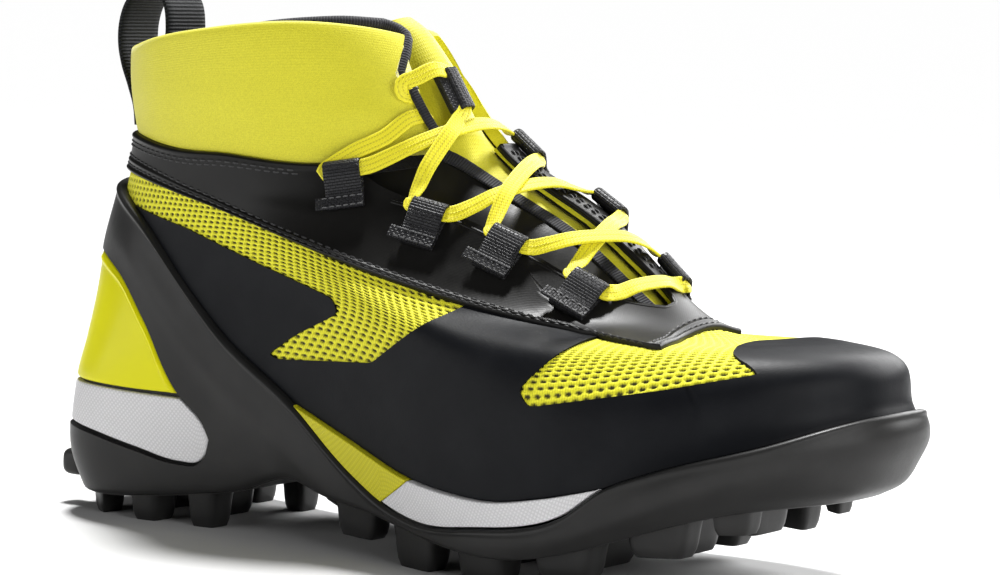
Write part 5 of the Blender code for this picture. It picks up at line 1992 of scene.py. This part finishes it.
@dataclass
class Fastening:
    """Webbing loops, the lace through them, and the pull loop.

    Attributes:
        loops: name, level, y, and the climb and swing of each side loop's edge; tongue_loop likewise.
        corner: how far the lace goes along a loop's edge, along its strand and outward before it turns.
        places: place and directions of each loop, filled as the loops are made.
    """
    loops: tuple = (
        ("lateral_1", 6.95, -24.5, 0.0, -1.7), ("medial_1", 6.90, 31.5, 0.0, 1.4),
        ("lateral_2", 6.22, -19.0, 0.1, -1.1), ("medial_2", 6.90, 18.0, 0.1, 0.5),
        ("lateral_3", 5.82, -14.5, 0.1, -1.1), ("medial_3", 6.10, 19.5, 0.1, 0.5),
        ("lateral_4", 5.41, -10.5, 0.1, -1.1), ("medial_4", 5.50, 18.0, 0.1, 0.5),
    )
    tongue_loop: tuple = ("tongue", 7.39, 3.0, 0.1, 0.3)
    seat: float = 1.9
    reach: float = 13.0
    tongue_reach: float = 6.0
    tongue_width: float = 15.0
    bore: float = 1.2
    web: tuple = (12.0, 1.1)
    lace: tuple = (5.3, 1.05)
    pull: tuple = (19.0, 1.8)
    tape: tuple = (4.0, 0.9)
    tape_ends: tuple = (-6.4, 9.2)
    tack_ends: tuple = (-6.0, 8.8)
    tack_offset: float = 1.45
    inside: tuple = (2.5, 5.6)
    corner: tuple = (0.9, 2.2, 0.4)
    pull_path: tuple = ((9.6, 127), (8.8, 133), (6.2, 140), (3.2, 147), (1.6, 154), (2.0, 161),
                        (4.6, 167.4), (10.0, 172), (16.4, 172.4), (21.2, 167.6), (22.6, 160),
                        (21.6, 151), (19.7, 142), (19.2, 134))
    places: dict = field(default_factory=dict)

    def build(self, collar: Collar, caster: Caster) -> None:
        """Model and dress the loops, the lace and the pull loop.

        Args:
            collar: holds the tongue's sizes.
            caster: the form.
        """
        for name, level, y, climb, swing in self.loops:
            self.places[name] = self.loop_frame(level, y, climb, swing, self.seat)
            self.web_loop(name, caster)
        name, level, y, climb, swing = self.tongue_loop
        seat = collar.tongue_faces[1] + float(collar.tongue_crown(level, np.array(y))) + 0.9
        self.places[name] = self.loop_frame(level, y, climb, swing, seat)
        self.web_loop(name, None)
        lace = self.lace_run(collar, caster)
        show(lace, LACE, "lace_bar", "lace_cross_43", "lace_cross_32", "lace_cross_21")
        path = smooth_line([(x, 0.0, z) for x, z in self.pull_path], 1.2)
        run = np.gradient(path, axis=0)
        way = np.stack([-run[:, 2], 0 * run[:, 0], run[:, 0]], -1)
        show(strap("pull_webbing", path, way, flat_section(*self.pull)), PULL_WEB, "pull_loop")

    def loop_frame(self, level: float, y: float, climb: float, swing: float, out: float) -> tuple:
        """Place of a loop, and its directions across to the throat, along its edge, and outward.

        Args:
            level: ring.
            y: place on the ring.
            climb: half of the rings that its edge crosses.
            swing: half of the y that its edge crosses.
            out: distance from the form.

        Returns:
            The place and the three directions.
        """
        def over(at_level: float, at_y: float) -> Array:
            """Point at a ring's y over the instep."""
            return LAST.skin(LAST.u_at(at_level, at_y), at_level, out)

        along = unit(over(level + climb, y + swing) - over(level - climb, y - swing))
        normal = LAST.outward(LAST.u_at(level, y), level)
        normal = unit(normal - along * (normal @ along))
        across = np.cross(along, normal)
        across = -across if across[2] < 0 else across
        return over(level, y), across, along, normal

    def settle(self, name: str, across_run: Array, caster: Optional[Caster]) -> Array:
        """How far the band lies under a loop's own plane, at places across it.

        Args:
            name: the loop.
            across_run: places across it, negative towards its sewn end.
            caster: the form to settle on, or None to stay flat.

        Returns:
            One depth for each place.
        """
        across_run = np.atleast_1d(np.asarray(across_run, float))
        if caster is None:
            return np.zeros(len(across_run))
        here, across, _, normal = self.places[name]
        depths = []
        for run in np.concatenate([[0.0], np.minimum(across_run, 0.0)]):
            start = here + across * run
            place, _ = caster.cast(start + normal * 25, -normal, 0.0)
            depths.append(float((start - place) @ normal))
        return np.clip(np.array(depths[1:]) - depths[0], -5, 7)

    def web_loop(self, name: str, caster: Optional[Caster]) -> None:
        """A folded webbing loop with its sewn strip and bar tacks, lying on the band.

        Args:
            name: the loop.
            caster: the form to settle on, or None for the tongue's.
        """
        here, across, along, normal = self.places[name]
        width, thick = self.web
        reach = self.reach if caster else self.tongue_reach
        middle = self.bore + thick / 2
        centre = self.bore + thick
        turn = np.linspace(-np.pi / 2, np.pi / 2, 13)
        fold = np.stack([middle * np.cos(turn), centre + middle * np.sin(turn)], -1)
        under = [(-reach, thick / 2), (-0.6 * reach, thick / 2), (-3.0, thick / 2)]
        over = [(-2.5, 2 * centre - thick / 2 - 0.1), (-0.55 * reach, 2.1 * thick), (-reach, 1.6 * thick)]
        route = np.concatenate([under, fold, over])
        run = run_along(route)
        fine = np.linspace(0, run[-1], 60)
        route = np.stack([np.interp(fine, run, route[:, c]) for c in range(2)], -1)
        route[:, 1] -= self.settle(name, route[:, 0], caster)
        path = here + across * route[:, :1] + normal * route[:, 1:]
        step = np.gradient(route, axis=0)
        way = across * step[:, 1:] - normal * step[:, :1]
        section = flat_section(width if caster else self.tongue_width, thick)
        body = strap(f"webbing_{name}", path, way, section)
        if caster is None:
            show(body, WEBBING, f"lace_loop_{name}")
            return
        at = -(reach - 2.0)
        before, here_down, after = self.settle(name, [at - 1, at, at + 1], caster)
        slope = (after - before) / 2
        flat, out = unit(across - normal * slope), unit(normal + across * slope)
        base = here + across * at + normal * (2.2 * thick - here_down)
        ends = np.linspace(*self.tape_ends, 9)[:, None]
        tape = strap(f"tape_{name}", base + along * ends, np.tile(out, (9, 1)), flat_section(*self.tape))
        show(joined(f"webbing_{name}", [body, tape]), WEBBING, f"lace_loop_{name}")
        rows = []
        for k, offset in enumerate((-self.tack_offset, self.tack_offset)):
            line = base + flat * offset + out * 0.5 + along * np.linspace(*self.tack_ends, 20)[:, None]
            rows.append(stitch_row(f"tack_{name}_{k}", line, np.tile(out, (20, 1)), 1.8, 0.5, 0.22))
        show(joined(f"bar_tack_{name}", rows), GREY_THREAD)

    def ends(self, name: str, end: int) -> list:
        """Lace points inside a loop and at one of its ends: 1 for the upper, -1 for the lower."""
        here, across, along, normal = self.places[name]
        centre = here + normal * (self.bore + self.web[1]) - across * 0.9
        return [(centre + along * end * at, normal) for at in self.inside]

    def strand(self, caster: Caster, first: str, first_end: int, second: str, second_end: int,
               clear: float) -> list:
        """Lace points from the inside of one loop to the inside of the next.

        Args:
            caster: the form that it lies over.
            first: loop that the lace leaves.
            first_end: the end that it leaves by.
            second: loop that it enters.
            second_end: the end that it enters by.
            clear: how far its middle stays off the form.

        Returns:
            Points with their outward directions.
        """
        start, stop = self.ends(first, first_end), self.ends(second, second_end)
        way = unit(stop[1][0] - start[1][0])
        ahead, onward, rise = self.corner
        corners = []
        turns = ((first, first_end, start[1], way), (second, second_end, stop[1], -way))
        for name, end, (place, normal), turn in turns:
            leaving = self.places[name][2] * end
            bend = (1 - leaving @ turn) / 2
            facing = unit(normal * (1 - bend) + unit(leaving - turn) * 1.2 * bend)
            corners.append((place + leaving * ahead + turn * onward + normal * rise, facing))
        middle = []
        for t in (0.13, 0.3, 0.5, 0.7, 0.87):
            normal = unit(start[1][1] * (1 - t) + stop[1][1] * t)
            place = corners[0][0] * (1 - t) + corners[1][0] * t
            under, out, *_ = caster.tree.find_nearest(Vector(place))
            out = np.array(out) * np.sign(out @ Vector(normal))
            lift = clear * (1.0 if 0.2 < t < 0.8 else 0.8) - (place - np.array(under)) @ out
            near = corners[0][1] if t < 0.5 else corners[1][1]
            facing = unit(normal + 0.7 * near) if t in (0.13, 0.87) else normal
            middle.append((place + out * max(lift, 0.0), facing))
        return start + corners[:1] + middle + corners[1:] + stop[::-1]

    def lace_run(self, collar: Collar, caster: Caster) -> Piece:
        """One flat lace from its tucked end through eight of the nine loops to the other tucked end.

        Args:
            collar: holds the tongue's edge.
            caster: the form.

        Returns:
            The lace.
        """
        on = LAST.over_instep
        low, high = collar.edge_side(7.27), collar.edge_side(7.42)
        route = [on(7.29, low + 1.5, 0.2), on(7.27, low, 1.0), on(7.24, low - 3.5, 2.6), on(7.14, -17, 2.7),
                 on(7.06, -23.0, 2.9)]
        route += self.ends("lateral_1", 1)[::-1]
        for step in (("lateral_1", -1, "medial_2", 1, 4.2), ("medial_2", -1, "lateral_3", 1, 5.0),
                     ("lateral_3", -1, "medial_4", 1, 5.0), ("medial_4", -1, "lateral_4", -1, 3.2),
                     ("lateral_4", 1, "medial_3", -1, 3.6), ("medial_3", 1, "lateral_2", -1, 3.6),
                     ("lateral_2", 1, "tongue", -1, 5.6)):
            route += self.strand(caster, *step)
        route += self.ends("tongue", 1)
        route += [on(7.53, -1.5, 6.0), on(7.50, -7, 4.6), on(7.46, high - 2.2, 3.6),
                  on(7.42, high - 2.4, 2.8), on(7.40, high, 1.0), on(7.40, high + 1.5, 0.2)]
        points, ways = split(route)
        smooth = smooth_line(np.concatenate([points, ways * 10], axis=1), 1.0)
        return strap("lace_braid", smooth[:, :3], unit(smooth[:, 3:]), flat_section(*self.lace, ridge=0.12))


@dataclass
class Studio:
    """Floor, lights and camera, whose axes are right, up and back."""
    lens: float = 118.73
    place: tuple = (751.33, -826.06, 179.85)
    right: tuple = (0.8086, 0.5878, 0.0268)
    up: tuple = (-0.0771, 0.0607, 0.9952)
    back: tuple = (0.5833, -0.8067, 0.0944)
    world_glow: float = 0.04
    floor_grey: float = 0.55
    aim: tuple = (0, 0, 0.07)

    def build(self) -> None:
        """Set the floor, the lights and the camera."""
        scene = bpy.context.scene
        scene.view_settings.view_transform = "Standard"
        world = bpy.data.worlds.new("studio")
        scene.world = world
        world.use_nodes = True
        glow = world.node_tree.nodes["Background"].inputs
        glow["Color"].default_value = (1, 1, 1, 1)
        glow["Strength"].default_value = self.world_glow
        self.floor()
        self.sun("overhead", 6.0, 10, (-0.20, 0.26, 1.0))
        self.panel("right_box", (1000, -300, 360), (0.7, 0.6), 6.5)
        self.panel("back_box", (300, 1000, 700), (1.4, 0.8), 28)
        self.panel("left_box", (-600, -900, 230), (1.2, 0.4), 4.0)
        data = bpy.data.cameras.new("photo_view")
        data.lens = self.lens
        data.sensor_width = 36.0
        data.sensor_fit = "HORIZONTAL"
        camera = bpy.data.objects.new("photo_view", data)
        scene.collection.objects.link(camera)
        turn = Matrix((self.right, self.up, self.back)).transposed()
        camera.matrix_world = Matrix.Translation((np.array(self.place) - ORIGIN) * MM) @ turn.to_4x4()
        scene.camera = camera

    def floor(self) -> None:
        """Plain pale floor."""
        deselect()
        bpy.ops.mesh.primitive_plane_add(size=2000.0)
        floor = bpy.context.active_object
        floor.name = "floor"
        made = bpy.data.materials.new("floor paint")
        made.use_nodes = True
        shader = made.node_tree.nodes["Principled BSDF"]
        shader.inputs["Base Color"].default_value = (*[self.floor_grey] * 3, 1)
        shader.inputs["Roughness"].default_value = 0.8
        shader.inputs["Specular IOR Level"].default_value = 0.1
        floor.data.materials.append(made)

    def sun(self, name: str, strength: float, spread: float, source: tuple) -> None:
        """Broad light from a direction.

        Args:
            name: the light's name.
            strength: its power.
            spread: its angle of spread in degrees.
            source: direction that it comes from.
        """
        data = bpy.data.lights.new(name, "SUN")
        data.energy = strength
        data.angle = math.radians(spread)
        lamp = bpy.data.objects.new(name, data)
        lamp.rotation_euler = (-Vector(source)).to_track_quat("-Z", "Y").to_euler()
        bpy.context.scene.collection.objects.link(lamp)

    def panel(self, name: str, place: tuple, size: tuple, power: float) -> None:
        """Soft box turned to the shoe.

        Args:
            name: the light's name.
            place: its middle, in millimetres.
            size: width and height in metres.
            power: its power in watts.
        """
        data = bpy.data.lights.new(name, "AREA")
        data.shape = "RECTANGLE"
        data.size, data.size_y = size
        data.energy = power
        lamp = bpy.data.objects.new(name, data)
        lamp.location = np.array(place) * MM
        lamp.rotation_euler = (Vector(self.aim) - lamp.location).to_track_quat("-Z", "Y").to_euler()
        bpy.context.scene.collection.objects.link(lamp)


def main() -> None:
    """Build the shoe piece by piece, then its studio."""
    logging.basicConfig(level=logging.INFO, format="%(name)s %(message)s")
    caster = Caster(LAST)
    Studio().build()
    Sole().build()
    Upper().build(caster)
    collar = Collar()
    collar.build()
    Fastening().build(collar, caster)


if __name__ == "__main__":
    main()
